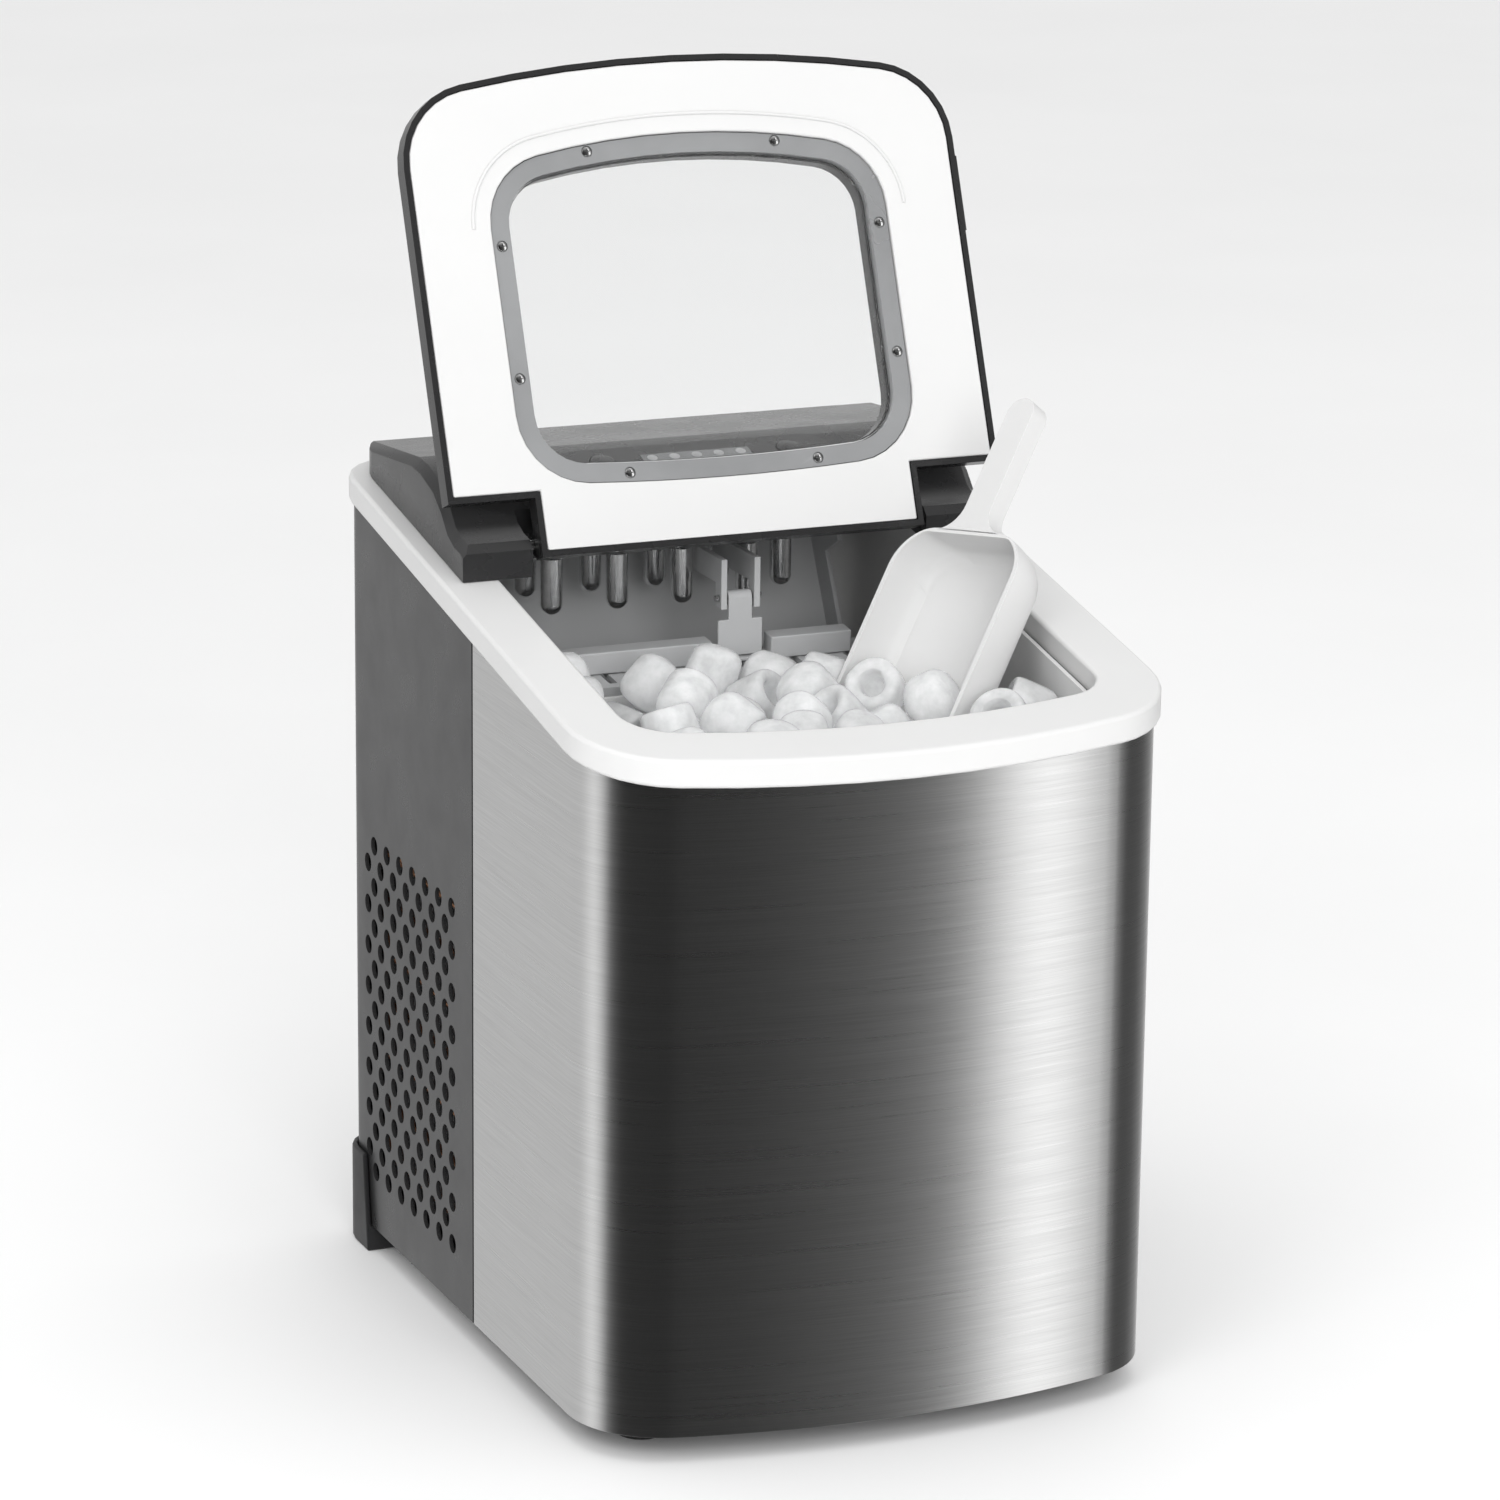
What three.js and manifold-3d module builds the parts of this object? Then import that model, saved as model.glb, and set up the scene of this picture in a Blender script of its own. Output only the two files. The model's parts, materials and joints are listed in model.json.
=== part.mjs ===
// A countertop ice maker: a boxy steel body with a sloping top, a hinged lid with a window, a lift-out
// basket of ice with a scoop, and the chilling and water parts inside.
// Millimetres, +X right, +Y back, +Z up. The origin is on the floor under the middle of the body.
import * as THREE from "three";
import { mergeVertices } from "three/addons/utils/BufferGeometryUtils.js";
import Module from "manifold-3d";

const wasm = await Module();
wasm.setup();
const Solid = wasm.Manifold;
const GAP = 0.3; // clearance between pieces that touch
const FIT = 1.0; // clearance round a piece that lifts or turns
const DEG = Math.PI / 180;

// Body
const BODY_HALF_WIDTH = 112;
const BODY_FRONT = -144; // the bowed front's foremost line
const BODY_BACK = 144;
const FRONT_BOW_RADIUS = 348;
const FRONT_CORNER = 36;
const BACK_CORNER = 15;
const PANEL_BOTTOM = 10;
const WRAP_SKIN = 0.8;
const SHELL_SKIN = 1.6;
const SEAM_Y = 0.5; // where the steel front meets the dark rear
const SEAM_GAP = 0.8;

// Sloping rim round the ice opening
const RIM_MID_HEIGHT = 286; // height of its top at y = 0
const RIM_SLOPE = 0.179;
const CLEAR_TOP = RIM_MID_HEIGHT + 120; // above the housing, for cuts that go right through
const RIM_OVERHANG = 2.5;
const RIM_DEPTH = 10.5;
const RIM_BAND = 20; // the rim's width beside the opening
const OPENING_HALF_WIDTH = BODY_HALF_WIDTH - RIM_BAND;
const OPENING_FRONT = BODY_FRONT + RIM_BAND + 2;
const OPENING_CORNER = 20;
const CHAMBER_BACK = BODY_BACK - 18;

// Tank, ledge and basket
const TANK_WALL = 2;
const TANK_BOTTOM = 70;
const TANK_BACK = 20; // back of the deep part, under the ledge
const BASKET_TOP = RIM_MID_HEIGHT - 36;
const LEDGE_DEPTH_BELOW_RIM = 84;
const BASKET_WALL = 1.8;
const BASKET_DEPTH = 96;

// Dark cover with the hinge ears
const COVER_HALF_WIDTH = BODY_HALF_WIDTH - 5;
const COVER_BACK = BODY_BACK - 4;
const COVER_FRONT = 23.5;
const COVER_TOP_FRONT = RIM_MID_HEIGHT + 40;
const COVER_TOP_BACK = COVER_TOP_FRONT - 4.5;
const COVER_WALL = 2.5;
const COVER_CHAMFER = 3.2;
const EAR_TOP = COVER_TOP_FRONT - 22;
const EAR_WIDTH = 27.5;
const EAR_INNER_X = COVER_HALF_WIDTH - EAR_WIDTH;
const HINGE_NOTCH_BACK = 43.5;

// Lid, in its own frame: +Y from the hinge to the lid's free end, +Z out of its white inner face
const HINGE_Y = 29.9;
const HINGE_Z = EAR_TOP - 3;
const LID_OPEN_DEG = 68; // the open lid's angle from +Y
const LID_THICKNESS = 12;
const LID_INNER_FACE = 8.8;
const LID_HALF_WIDTH = BODY_HALF_WIDTH - 1;
const LID_END = 179.5;
const LID_HEEL = -6; // the hinge tongue's end, past the hinge line
const LID_SHOULDER = 16.2;
const LID_TONGUE_HALF = EAR_INNER_X - 2.5;
const LID_CORNER = 31;
const LID_END_BOW = 520;
const LID_SKIN = 2.2;
const LINER_THICKNESS = 2.5;
const PIN_RADIUS = 2;
const PIN_LENGTH = 14;

// Window
const WINDOW_SIDE_BAND = 31; // the liner's width beside the window
const WINDOW_HALF_WIDTH = LID_HALF_WIDTH - WINDOW_SIDE_BAND;
const WINDOW_START = 18.5;
const WINDOW_END = 150;
const WINDOW_CORNER = 27;
const WINDOW_BOW = 300;
const FRAME_WIDTH = 7.5;
const PANE_THICKNESS = 2;
const SCREW_RADIUS = 1.9;

// Evaporator and its fingers
const FINGER_RADIUS = 4.2;
const FINGER_LENGTH = 26;
const FINGER_TOP = RIM_MID_HEIGHT + 6;
const FINGER_BOTTOM = FINGER_TOP - FINGER_LENGTH;
const FINGER_PITCH = 26.5;
const FINGER_FIRST_X = -57.5;
const FINGER_ROW_Y = 60;
const FINGER_ROW_GAP = 28;
const FINGERS_IN_ROW = 4;
const TUBE_RADIUS = 4;

// Water tray, turned down after dropping its water
const TRAY_PIVOT_Y = 98;
const TRAY_PIVOT_Z = FINGER_TOP - 10;
const TRAY_HALF_LENGTH = 74;
const TRAY_REACH = 53;
const TRAY_DEPTH = 18;
const TRAY_WALL = 1.8;
const TRAY_DOWN_DEG = 62;
const TRAY_AXLE_RADIUS = 3;

// Vents in the dark shell's sides
const VENT_RADIUS = 3.7;
const VENT_PITCH_Y = 7.3;
const VENT_PITCH_Z = 16.6;
const VENT_FIRST_Y = 23;
const VENT_COLUMNS = 14;
const VENT_BOTTOM = 34;
const VENT_ROWS = 9;
const VENT_SIDES = 4;
const SLOT_COUNT = 11;
const SLOT_FIRST_X = -20;
const SLOT_PITCH = 9;
const SLOT_WIDTH = 4;
const SLOT_BOTTOM = 60;
const SLOT_TOP = 150;

// Scoop, standing in the ice
const SCOOP_WIDTH = 64;
const SCOOP_BLADE = 76;
const SCOOP_DEPTH = 20;
const SCOOP_WALL = 1.8;
const SCOOP_HANDLE = 50;
const SCOOP_HANDLE_WIDTH = 13;
const SCOOP_HANDLE_THICKNESS = 8.5;
const SCOOP_LEAN_DEG = -7.6;
const SCOOP_TILT_DEG = -37.9; // leaning back off upright
const SCOOP_TURN_DEG = -72.9;
const SCOOP_LIFT = [-0.1, -0.65, 0.753]; // the way it comes out of the ice
const SCOOP_POCKET_STEP = 2.5;
const SCOOP_POCKET_STEPS = 13;
const SCOOP_PLACE = [OPENING_HALF_WIDTH - 62.3, OPENING_FRONT + 66.6, BASKET_TOP - 1.2];

// Control panel, inlet and drain.
const PANEL_TILT_DEG = 17;
const PANEL_CENTRE = [0, 60, COVER_TOP_FRONT - 3.4];
const PANEL_HALF_LENGTH = 55;
const PANEL_HALF_WIDTH = 10;
const PANEL_THICKNESS = 2;
const BUTTON_RADIUS = 5;
const BUTTON_X = [-38, 38];
const INLET_X = -70;
const INLET_Z = 60;
const INLET_RADIUS = 9;
const DRAIN_Y = -84;
const DRAIN_Z = 82;
const DRAIN_RADIUS = 7;

// Ice paddle and rack.
const BEND_X = FINGER_FIRST_X + FINGER_PITCH * (FINGERS_IN_ROW - 1);
const PADDLE_X = 9;
const PADDLE_Y = 39;
const PADDLE_Z = FINGER_BOTTOM + 6;
const PADDLE_LENGTH = 22;
const GRILLE_FRONT = TANK_BACK + 2;
const GRILLE_BACK = 50;
const GRILLE_HEIGHT = BASKET_TOP - 4;
const GRILLE_SLOPE_DEG = 6;

// Fan.
const FAN_Y = 74;
const FAN_Z = 96;
const FAN_X = 54 - BODY_HALF_WIDTH;
const FAN_RADIUS = 40;

const paint = (color, roughness, metalness) =>
  new THREE.MeshStandardMaterial({ color, roughness, metalness });
const BRUSHED = paint(0xb4b4b2, 0.32, 1.0);
const DARK_PAINT = paint(0x4b4b4d, 0.45, 0.3);
const DARK_PLASTIC = paint(0x39393b, 0.4, 0.0);
const BLACK_PLASTIC = paint(0x1c1c1d, 0.55, 0.0);
const RUBBER = paint(0x161616, 0.9, 0.0);
const WHITE_PLASTIC = paint(0xf1f1ef, 0.35, 0.0);
const GREY_PLASTIC = paint(0xa9acad, 0.45, 0.0);
const CLEAR_PLASTIC = paint(0xe4eaec, 0.08, 0.0);
const CHROME = paint(0xd5d5d5, 0.15, 1.0);
const COPPER = paint(0xb87346, 0.35, 1.0);
const ALUMINIUM = paint(0xc9ccce, 0.4, 1.0);
const BOARD_GREEN = paint(0x1f5a38, 0.6, 0.0);
const ICE = paint(0xeef4f6, 0.12, 0.0);

const rimTop = (y) => RIM_MID_HEIGHT + RIM_SLOPE * y;

// ---- solids ----

function solid(geometry) {
  const bare = geometry.index ? geometry.toNonIndexed() : geometry.clone();
  for (const name of Object.keys(bare.attributes)) {
    if (name !== "position") bare.deleteAttribute(name);
  }
  const merged = mergeVertices(bare, 1e-4);
  const triVerts = new Uint32Array(merged.index.array);
  const vertProperties = merged.attributes.position.array;
  return new Solid(new wasm.Mesh({ numProp: 3, vertProperties, triVerts }));
}

function geometryOf(manifold) {
  const made = manifold.getMesh();
  const geometry = new THREE.BufferGeometry();
  const positions = new Float32Array(made.vertProperties);
  geometry.setAttribute("position", new THREE.BufferAttribute(positions, 3));
  geometry.setIndex(new THREE.BufferAttribute(new Uint32Array(made.triVerts), 1));
  return geometry;
}

function box(x0, x1, y0, y1, z0, z1) {
  const shape = new THREE.BoxGeometry(x1 - x0, y1 - y0, z1 - z0);
  return solid(shape.translate((x0 + x1) / 2, (y0 + y1) / 2, (z0 + z1) / 2));
}

// A straight prism of an XY outline from z0 to z1.
function prism(points, z0, z1) {
  const shape = new THREE.Shape(points.map(([x, y]) => new THREE.Vector2(x, y)));
  const extruded = new THREE.ExtrudeGeometry(shape, { depth: z1 - z0, bevelEnabled: false });
  return solid(extruded.translate(0, 0, z0));
}

// A prism along X of an outline given as (y, z) points.
function prismAlongX(points, x0, x1) {
  const shape = new THREE.Shape(points.map(([y, z]) => new THREE.Vector2(y, z)));
  const extruded = new THREE.ExtrudeGeometry(shape, { depth: x1 - x0, bevelEnabled: false });
  const turn = new THREE.Matrix4().set(0, 0, 1, x0, 1, 0, 0, 0, 0, 1, 0, 0, 0, 0, 0, 1);
  return solid(extruded.applyMatrix4(turn));
}

function rod(from, to, radius, sides = 16, endRadius = radius) {
  const a = new THREE.Vector3(...from);
  const b = new THREE.Vector3(...to);
  const shape = new THREE.CylinderGeometry(endRadius, radius, a.distanceTo(b), sides);
  const along = b.clone().sub(a).normalize();
  const turn = new THREE.Quaternion().setFromUnitVectors(new THREE.Vector3(0, 1, 0), along);
  shape.applyQuaternion(turn);
  const middle = a.add(b).multiplyScalar(0.5);
  return solid(shape.translate(middle.x, middle.y, middle.z));
}

// A solid turned about Z from (radius, height) points that start and end on the axis.
function turned(points, sides = 24) {
  const profile = points.map(([r, z]) => new THREE.Vector2(r, z));
  const shape = new THREE.LatheGeometry(profile, sides);
  return solid(shape.rotateX(Math.PI / 2));
}

function joined(parts) {
  return parts.reduce((all, one) => all.add(one));
}

function named(name, manifold, material) {
  const mesh = new THREE.Mesh(geometryOf(manifold), material);
  mesh.name = name;
  return mesh;
}

// ---- outlines ----

function arc(cx, cy, radius, startDeg, endDeg, steps) {
  const points = [];
  for (let i = 0; i <= steps; i += 1) {
    const angle = (startDeg + ((endDeg - startDeg) * i) / steps) * DEG;
    points.push([cx + radius * Math.cos(angle), cy + radius * Math.sin(angle)]);
  }
  return points;
}

// The U of an outline whose end at -Y is bowed: from (-half, endY) round the bow to (half, endY).
function bowedU(half, bowY, bowRadius, corner, endY) {
  const bowCentre = bowY + bowRadius;
  const cornerX = half - corner;
  const cornerY = bowCentre - Math.sqrt((bowRadius - corner) ** 2 - cornerX ** 2);
  const meet = Math.atan2(cornerX, bowCentre - cornerY) / DEG;
  return [
    [-half, endY],
    ...arc(-cornerX, cornerY, corner, 180, 270 - meet, 7),
    ...arc(0, bowCentre, bowRadius, 270 - meet, 270 + meet, 8).slice(1, -1),
    ...arc(cornerX, cornerY, corner, 270 + meet, 360, 7),
    [half, endY],
  ];
}

// The U of an outline whose end at +Y is straight, from (half, startY) to (-half, startY).
function squareU(half, endY, corner, startY) {
  return [
    [half, startY],
    ...arc(half - corner, endY - corner, corner, 0, 90, 5),
    ...arc(-half + corner, endY - corner, corner, 90, 180, 5),
    [-half, startY],
  ];
}

function bodyOutline(inset, extraBack = 0) {
  const half = BODY_HALF_WIDTH - inset;
  const bow = FRONT_BOW_RADIUS - inset;
  const front = bowedU(half, BODY_FRONT + inset, bow, FRONT_CORNER - inset, SEAM_Y);
  const back = squareU(half, BODY_BACK - inset + extraBack, BACK_CORNER - inset, SEAM_Y);
  return [...front.slice(0, -1), ...back.slice(0, -1)];
}

function openingOutline(inset, backY = CHAMBER_BACK) {
  const half = OPENING_HALF_WIDTH - inset;
  const bow = FRONT_BOW_RADIUS - inset;
  const front = bowedU(half, OPENING_FRONT + inset, bow, OPENING_CORNER - inset, SEAM_Y);
  const back = squareU(half, backY - inset, Math.max(BACK_CORNER - inset, 4), SEAM_Y);
  return [...front.slice(0, -1), ...back.slice(0, -1)];
}

// Everything between two sheets parallel to the rim's top, at these heights from it.
function slopedSlab(low, high) {
  const [y0, y1] = [BODY_FRONT - 20, BODY_BACK + 20];
  const points = [
    [y0, rimTop(y0) + low],
    [y1, rimTop(y1) + low],
    [y1, rimTop(y1) + high],
    [y0, rimTop(y0) + high],
  ];
  return prismAlongX(points, -BODY_HALF_WIDTH - 20, BODY_HALF_WIDTH + 20);
}

const BELOW_RIM = slopedSlab(-400, -RIM_DEPTH - GAP);

// ---- body ----

function basePan() {
  const skin = SHELL_SKIN + 2 * GAP;
  const plate = prism(bodyOutline(skin), PANEL_BOTTOM, PANEL_BOTTOM + 3);
  const wall = prism(bodyOutline(skin), PANEL_BOTTOM, PANEL_BOTTOM + 12);
  return plate.add(wall.subtract(prism(bodyOutline(skin + 2.5), PANEL_BOTTOM - 1, PANEL_BOTTOM + 13)));
}

function frontFoot(side) {
  const height = PANEL_BOTTOM - GAP;
  const foot = turned([[0, 0], [9, 0], [10, 1.5], [8.5, height], [0, height]], 20);
  return foot.translate([side * 84, -100, 0]);
}

// A corner spacer that wraps the dark shell's foot and stands on the floor.
function rearBumper(side) {
  const outer = prism(bodyOutline(-RIM_OVERHANG), 0, 39);
  const inner = prism(bodyOutline(-GAP), PANEL_BOTTOM - GAP, 60);
  const sideReach = prismAlongX([[114, -1], [170, -1], [170, 60], [122, 60]], 84, 140);
  const corner = side > 0 ? sideReach : sideReach.mirror([1, 0, 0]);
  return outer.subtract(inner).intersect(corner);
}

function wrapStrip(outline, innerOutline, height) {
  const ring = [...outline, ...[...innerOutline].reverse()];
  return prism(ring, PANEL_BOTTOM, height).intersect(BELOW_RIM);
}

function frontWrap() {
  const seam = SEAM_Y - SEAM_GAP;
  const u = (inset) =>
    bowedU(BODY_HALF_WIDTH - inset, BODY_FRONT + inset, FRONT_BOW_RADIUS - inset, FRONT_CORNER - inset, seam);
  return wrapStrip(u(0), u(WRAP_SKIN), CLEAR_TOP).subtract(drainBore());
}

// Staggered round vents in the left side, over the condenser.
function sideVents() {
  const cutters = [];
  for (let column = 0; column < VENT_COLUMNS; column += 1) {
    const y = VENT_FIRST_Y + column * VENT_PITCH_Y;
    const lift = (column % 2) * (VENT_PITCH_Z / 2);
    for (let row = 0; row < VENT_ROWS - (column % 2); row += 1) {
      const z = VENT_BOTTOM + lift + row * VENT_PITCH_Z;
      const outside = -BODY_HALF_WIDTH - 5;
      cutters.push(rod([outside, y, z], [outside + 10, y, z], VENT_RADIUS, VENT_SIDES));
    }
  }
  return Solid.union(cutters);
}

// Upright outlet slots in the back.
function backSlots() {
  const cutters = [];
  for (let i = 0; i < SLOT_COUNT; i += 1) {
    const x = SLOT_FIRST_X + i * SLOT_PITCH;
    cutters.push(box(x, x + SLOT_WIDTH, BODY_BACK - 5, BODY_BACK + 5, SLOT_BOTTOM, SLOT_TOP));
  }
  return Solid.union(cutters);
}

function rearShell() {
  const seam = SEAM_Y + SEAM_GAP / 2;
  const u = (inset) => squareU(BODY_HALF_WIDTH - inset, BODY_BACK - inset, BACK_CORNER - inset, seam);
  const shell = wrapStrip(u(0), u(SHELL_SKIN), CLEAR_TOP);
  const inlet = rod([INLET_X, BODY_BACK - 10, INLET_Z], [INLET_X, BODY_BACK + 5, INLET_Z], INLET_RADIUS, 16);
  return shell.subtract(sideVents()).subtract(backSlots()).subtract(inlet);
}

// A closed outlet on the back where the mains lead goes in.
function powerInlet() {
  const y = BODY_BACK;
  const barrel = rod([INLET_X, y - 8, INLET_Z], [INLET_X, y + 1, INLET_Z], INLET_RADIUS - GAP, 20);
  const flange = rod([INLET_X, y + GAP, INLET_Z], [INLET_X, y + 2, INLET_Z], INLET_RADIUS + 3, 24);
  const hole = rod([INLET_X, y - 4, INLET_Z], [INLET_X, y + 5, INLET_Z], 3.5, 12);
  return barrel.add(flange).subtract(hole);
}

function topRim() {
  const outer = prism(bodyOutline(-RIM_OVERHANG, -RIM_OVERHANG + 0.6), PANEL_BOTTOM, CLEAR_TOP);
  const ring = outer.subtract(prism(openingOutline(0), 0, CLEAR_TOP + 1));
  return ring.intersect(slopedSlab(-RIM_DEPTH, 0));
}

// The white liner: a deep tank in front, and a ledge for the tray behind.
function innerTank() {
  const under = RIM_DEPTH + GAP;
  const ledge = LEDGE_DEPTH_BELOW_RIM;
  const deepOutline = (inset) => openingOutline(inset, TANK_BACK);
  const outerUpper = prism(openingOutline(-TANK_WALL), TANK_BOTTOM, CLEAR_TOP).intersect(slopedSlab(-ledge - TANK_WALL, -under));
  const outerDeep = prism(deepOutline(-TANK_WALL), TANK_BOTTOM, CLEAR_TOP).intersect(slopedSlab(-400, -under));
  const innerUpper = prism(openingOutline(0), TANK_BOTTOM, CLEAR_TOP + 1).intersect(slopedSlab(-ledge, 20));
  const innerDeep = prism(deepOutline(0), TANK_BOTTOM + TANK_WALL, CLEAR_TOP + 1);
  return outerUpper.add(outerDeep).subtract(innerUpper).subtract(innerDeep).subtract(tankOpenings());
}

function tankOpenings() {
  const reach = OPENING_HALF_WIDTH + 10;
  const axle = rod([0, TRAY_PIVOT_Y, TRAY_PIVOT_Z], [reach, TRAY_PIVOT_Y, TRAY_PIVOT_Z], TRAY_AXLE_RADIUS + FIT);
  return axle.add(drainBore());
}

// ---- drain ----

function drainBore() {
  const [inside, outside] = [OPENING_HALF_WIDTH - 12, BODY_HALF_WIDTH + 18];
  return rod([inside, DRAIN_Y, DRAIN_Z], [outside, DRAIN_Y, DRAIN_Z], DRAIN_RADIUS, 20);
}

function drainCap() {
  const start = [OPENING_HALF_WIDTH - 1, DRAIN_Y, DRAIN_Z];
  const face = BODY_HALF_WIDTH + GAP;
  const plug = rod(start, [face + 1, DRAIN_Y, DRAIN_Z], DRAIN_RADIUS - 2 * GAP, 20);
  const head = rod([face, DRAIN_Y, DRAIN_Z], [face + 2.2, DRAIN_Y, DRAIN_Z], DRAIN_RADIUS + 3, 24);
  return plug.add(head);
}

// ---- cover and controls ----

// The cover's side outline down to the rim, drawn in by an inset for its hollow.
function coverSide(inset) {
  const foot = inset > 0 ? -1 : GAP;
  const front = COVER_FRONT + inset;
  const back = COVER_BACK - inset;
  return [
    [front, rimTop(front) + foot],
    [back, rimTop(back) + foot],
    [back, COVER_TOP_BACK - 8],
    [back - 2.5, COVER_TOP_BACK - 2.5 - inset],
    [back - 8, COVER_TOP_BACK - inset],
    [80, COVER_TOP_FRONT - inset],
    [70, COVER_TOP_FRONT - 0.9 - inset],
    [56, COVER_TOP_FRONT - 5 - inset],
    [47 + inset / 2, COVER_TOP_FRONT - 11 - inset],
    [40 + inset / 2, COVER_TOP_FRONT - 18 - inset],
    [33 + inset / 2, EAR_TOP + 1 - inset],
    [front + 3, EAR_TOP - inset],
    [front, EAR_TOP - 3 - inset],
  ];
}

function coverBlock(inset) {
  const half = COVER_HALF_WIDTH - inset;
  const block = prismAlongX(coverSide(inset), -half, half);
  const plan = [...squareU(half, COVER_BACK - inset, BACK_CORNER - inset, COVER_FRONT - 5)];
  return block.intersect(prism(plan, PANEL_BOTTOM, CLEAR_TOP));
}

// Cuts the chamfer along the cover's left top edge; each row of five points is one slice of it.
function edgeCutter() {
  const far = 20;
  const edge = coverSide(0).slice(2);
  const lastRow = edge.length - 1;
  const rows = edge.map(([y, z], i) => {
    const past = y + (i === 0 ? 4 : 0) - (i === lastRow ? 4 : 0);
    return [
      [-COVER_HALF_WIDTH - 0.01, past, z - COVER_CHAMFER],
      [-COVER_HALF_WIDTH + COVER_CHAMFER, past, z],
      [-COVER_HALF_WIDTH + COVER_CHAMFER, past, z + far],
      [-COVER_HALF_WIDTH - far, past, z + far],
      [-COVER_HALF_WIDTH - far, past, z - COVER_CHAMFER],
    ];
  });
  const n = rows[0].length;
  const index = [];
  for (let i = 0; i < lastRow; i += 1) {
    for (let k = 0; k < n; k += 1) {
      const [a, b] = [i * n + k, i * n + ((k + 1) % n)];
      index.push(a, b, b + n, a, b + n, a + n);
    }
  }
  for (let k = 1; k + 1 < n; k += 1) {
    index.push(0, k + 1, k, lastRow * n, lastRow * n + k, lastRow * n + k + 1);
  }
  const geometry = new THREE.BufferGeometry();
  const positions = new Float32Array(rows.flat(2));
  geometry.setAttribute("position", new THREE.BufferAttribute(positions, 3));
  geometry.setIndex(index);
  return solid(geometry);
}

// Puts a piece drawn flat at the origin onto the cover's sloping control face.
function ontoPanel(piece) {
  return piece.rotate([PANEL_TILT_DEG, 0, 0]).translate(PANEL_CENTRE);
}

function panelOutline(inset) {
  const half = PANEL_HALF_LENGTH - inset;
  const r = PANEL_HALF_WIDTH - inset;
  return [...arc(half - r, 0, r, -90, 90, 10), ...arc(-half + r, 0, r, 90, 270, 10)];
}

function topCover() {
  let cover = coverBlock(0).subtract(coverBlock(COVER_WALL));
  const notchTop = COVER_TOP_FRONT - 10;
  const notch = box(-EAR_INNER_X, EAR_INNER_X, 0, HINGE_NOTCH_BACK, EAR_TOP - 64, notchTop);
  const ears = box(EAR_INNER_X, COVER_HALF_WIDTH - COVER_WALL, COVER_FRONT + 1, HINGE_NOTCH_BACK + 2, EAR_TOP - 19, EAR_TOP + 2);
  const earBlock = ears.add(ears.mirror([1, 0, 0])).intersect(coverBlock(0.5)).intersect(slopedSlab(GAP, 40));
  const backWall = box(-EAR_INNER_X - 2, EAR_INNER_X + 2, HINGE_NOTCH_BACK, HINGE_NOTCH_BACK + 2, EAR_TOP - 19, COVER_TOP_FRONT - 8);
  cover = cover.subtract(notch).add(earBlock).add(backWall.intersect(coverBlock(0.5)).intersect(slopedSlab(GAP, 40)));
  const chamfer = edgeCutter();
  cover = cover.subtract(chamfer).subtract(chamfer.mirror([1, 0, 0]));
  for (const side of [-1, 1]) cover = cover.subtract(hingePin(side, PIN_RADIUS + GAP, PIN_LENGTH + 1));
  return cover.subtract(ontoPanel(prism(panelOutline(-GAP), -PANEL_THICKNESS, 20)));
}

function controlPanel() {
  let plate = prism(panelOutline(0), -PANEL_THICKNESS + GAP, 0.4);
  for (const x of BUTTON_X) {
    plate = plate.subtract(rod([x, 0, -5], [x, 0, 5], BUTTON_RADIUS + GAP, 24));
  }
  const strip = box(-22 - GAP, 22 + GAP, -3 - GAP, 3 + GAP, -0.8, 5);
  return ontoPanel(plate.subtract(strip));
}

function pushButton(x) {
  const button = turned([[0, -1], [BUTTON_RADIUS - 0.2, -1], [BUTTON_RADIUS - 0.2, 1], [3.4, 1.5], [0, 1.5]]);
  return ontoPanel(button.translate([x, 0, 0]));
}

function indicatorStrip() {
  return ontoPanel(box(-22, 22, -3, 3, -0.8 + GAP, 0.7));
}

function circuitBoard() {
  const board = box(-70, 40, 78, 128, 0, 1.6).add(box(-50, -20, 88, 112, 1, 9)).add(box(0, 22, 84, 104, 1, 11));
  const posts = box(-66, -62, 82, 86, -4, 0.5).add(box(32, 36, 120, 124, -4, 0.5));
  return board.add(posts).translate([0, 0, EAR_TOP]).intersect(coverBlock(COVER_WALL + 1));
}

// ---- lid ----

function lidOutline(inset) {
  const half = LID_HALF_WIDTH - inset;
  const far = bowedU(half, -LID_END + inset, LID_END_BOW - inset, LID_CORNER - inset, -LID_SHOULDER - inset);
  const shoulder = LID_SHOULDER + inset;
  const tongue = LID_TONGUE_HALF - inset;
  const heel = LID_HEEL + inset;
  const round = far.map(([x, y]) => [x, -y]).reverse();
  return [...round, [-tongue, shoulder], [-tongue, heel], [tongue, heel], [tongue, shoulder]];
}

function windowOutline(inset) {
  const half = WINDOW_HALF_WIDTH - inset;
  const corner = WINDOW_CORNER - inset;
  const middle = (WINDOW_START + WINDOW_END) / 2;
  const far = bowedU(half, -WINDOW_END + inset, WINDOW_BOW - inset, corner, -middle);
  const near = bowedU(half, WINDOW_START + inset, 900, corner, middle);
  return [...far.map(([x, y]) => [x, -y]).reverse(), ...near.slice(1, -1)];
}

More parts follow.
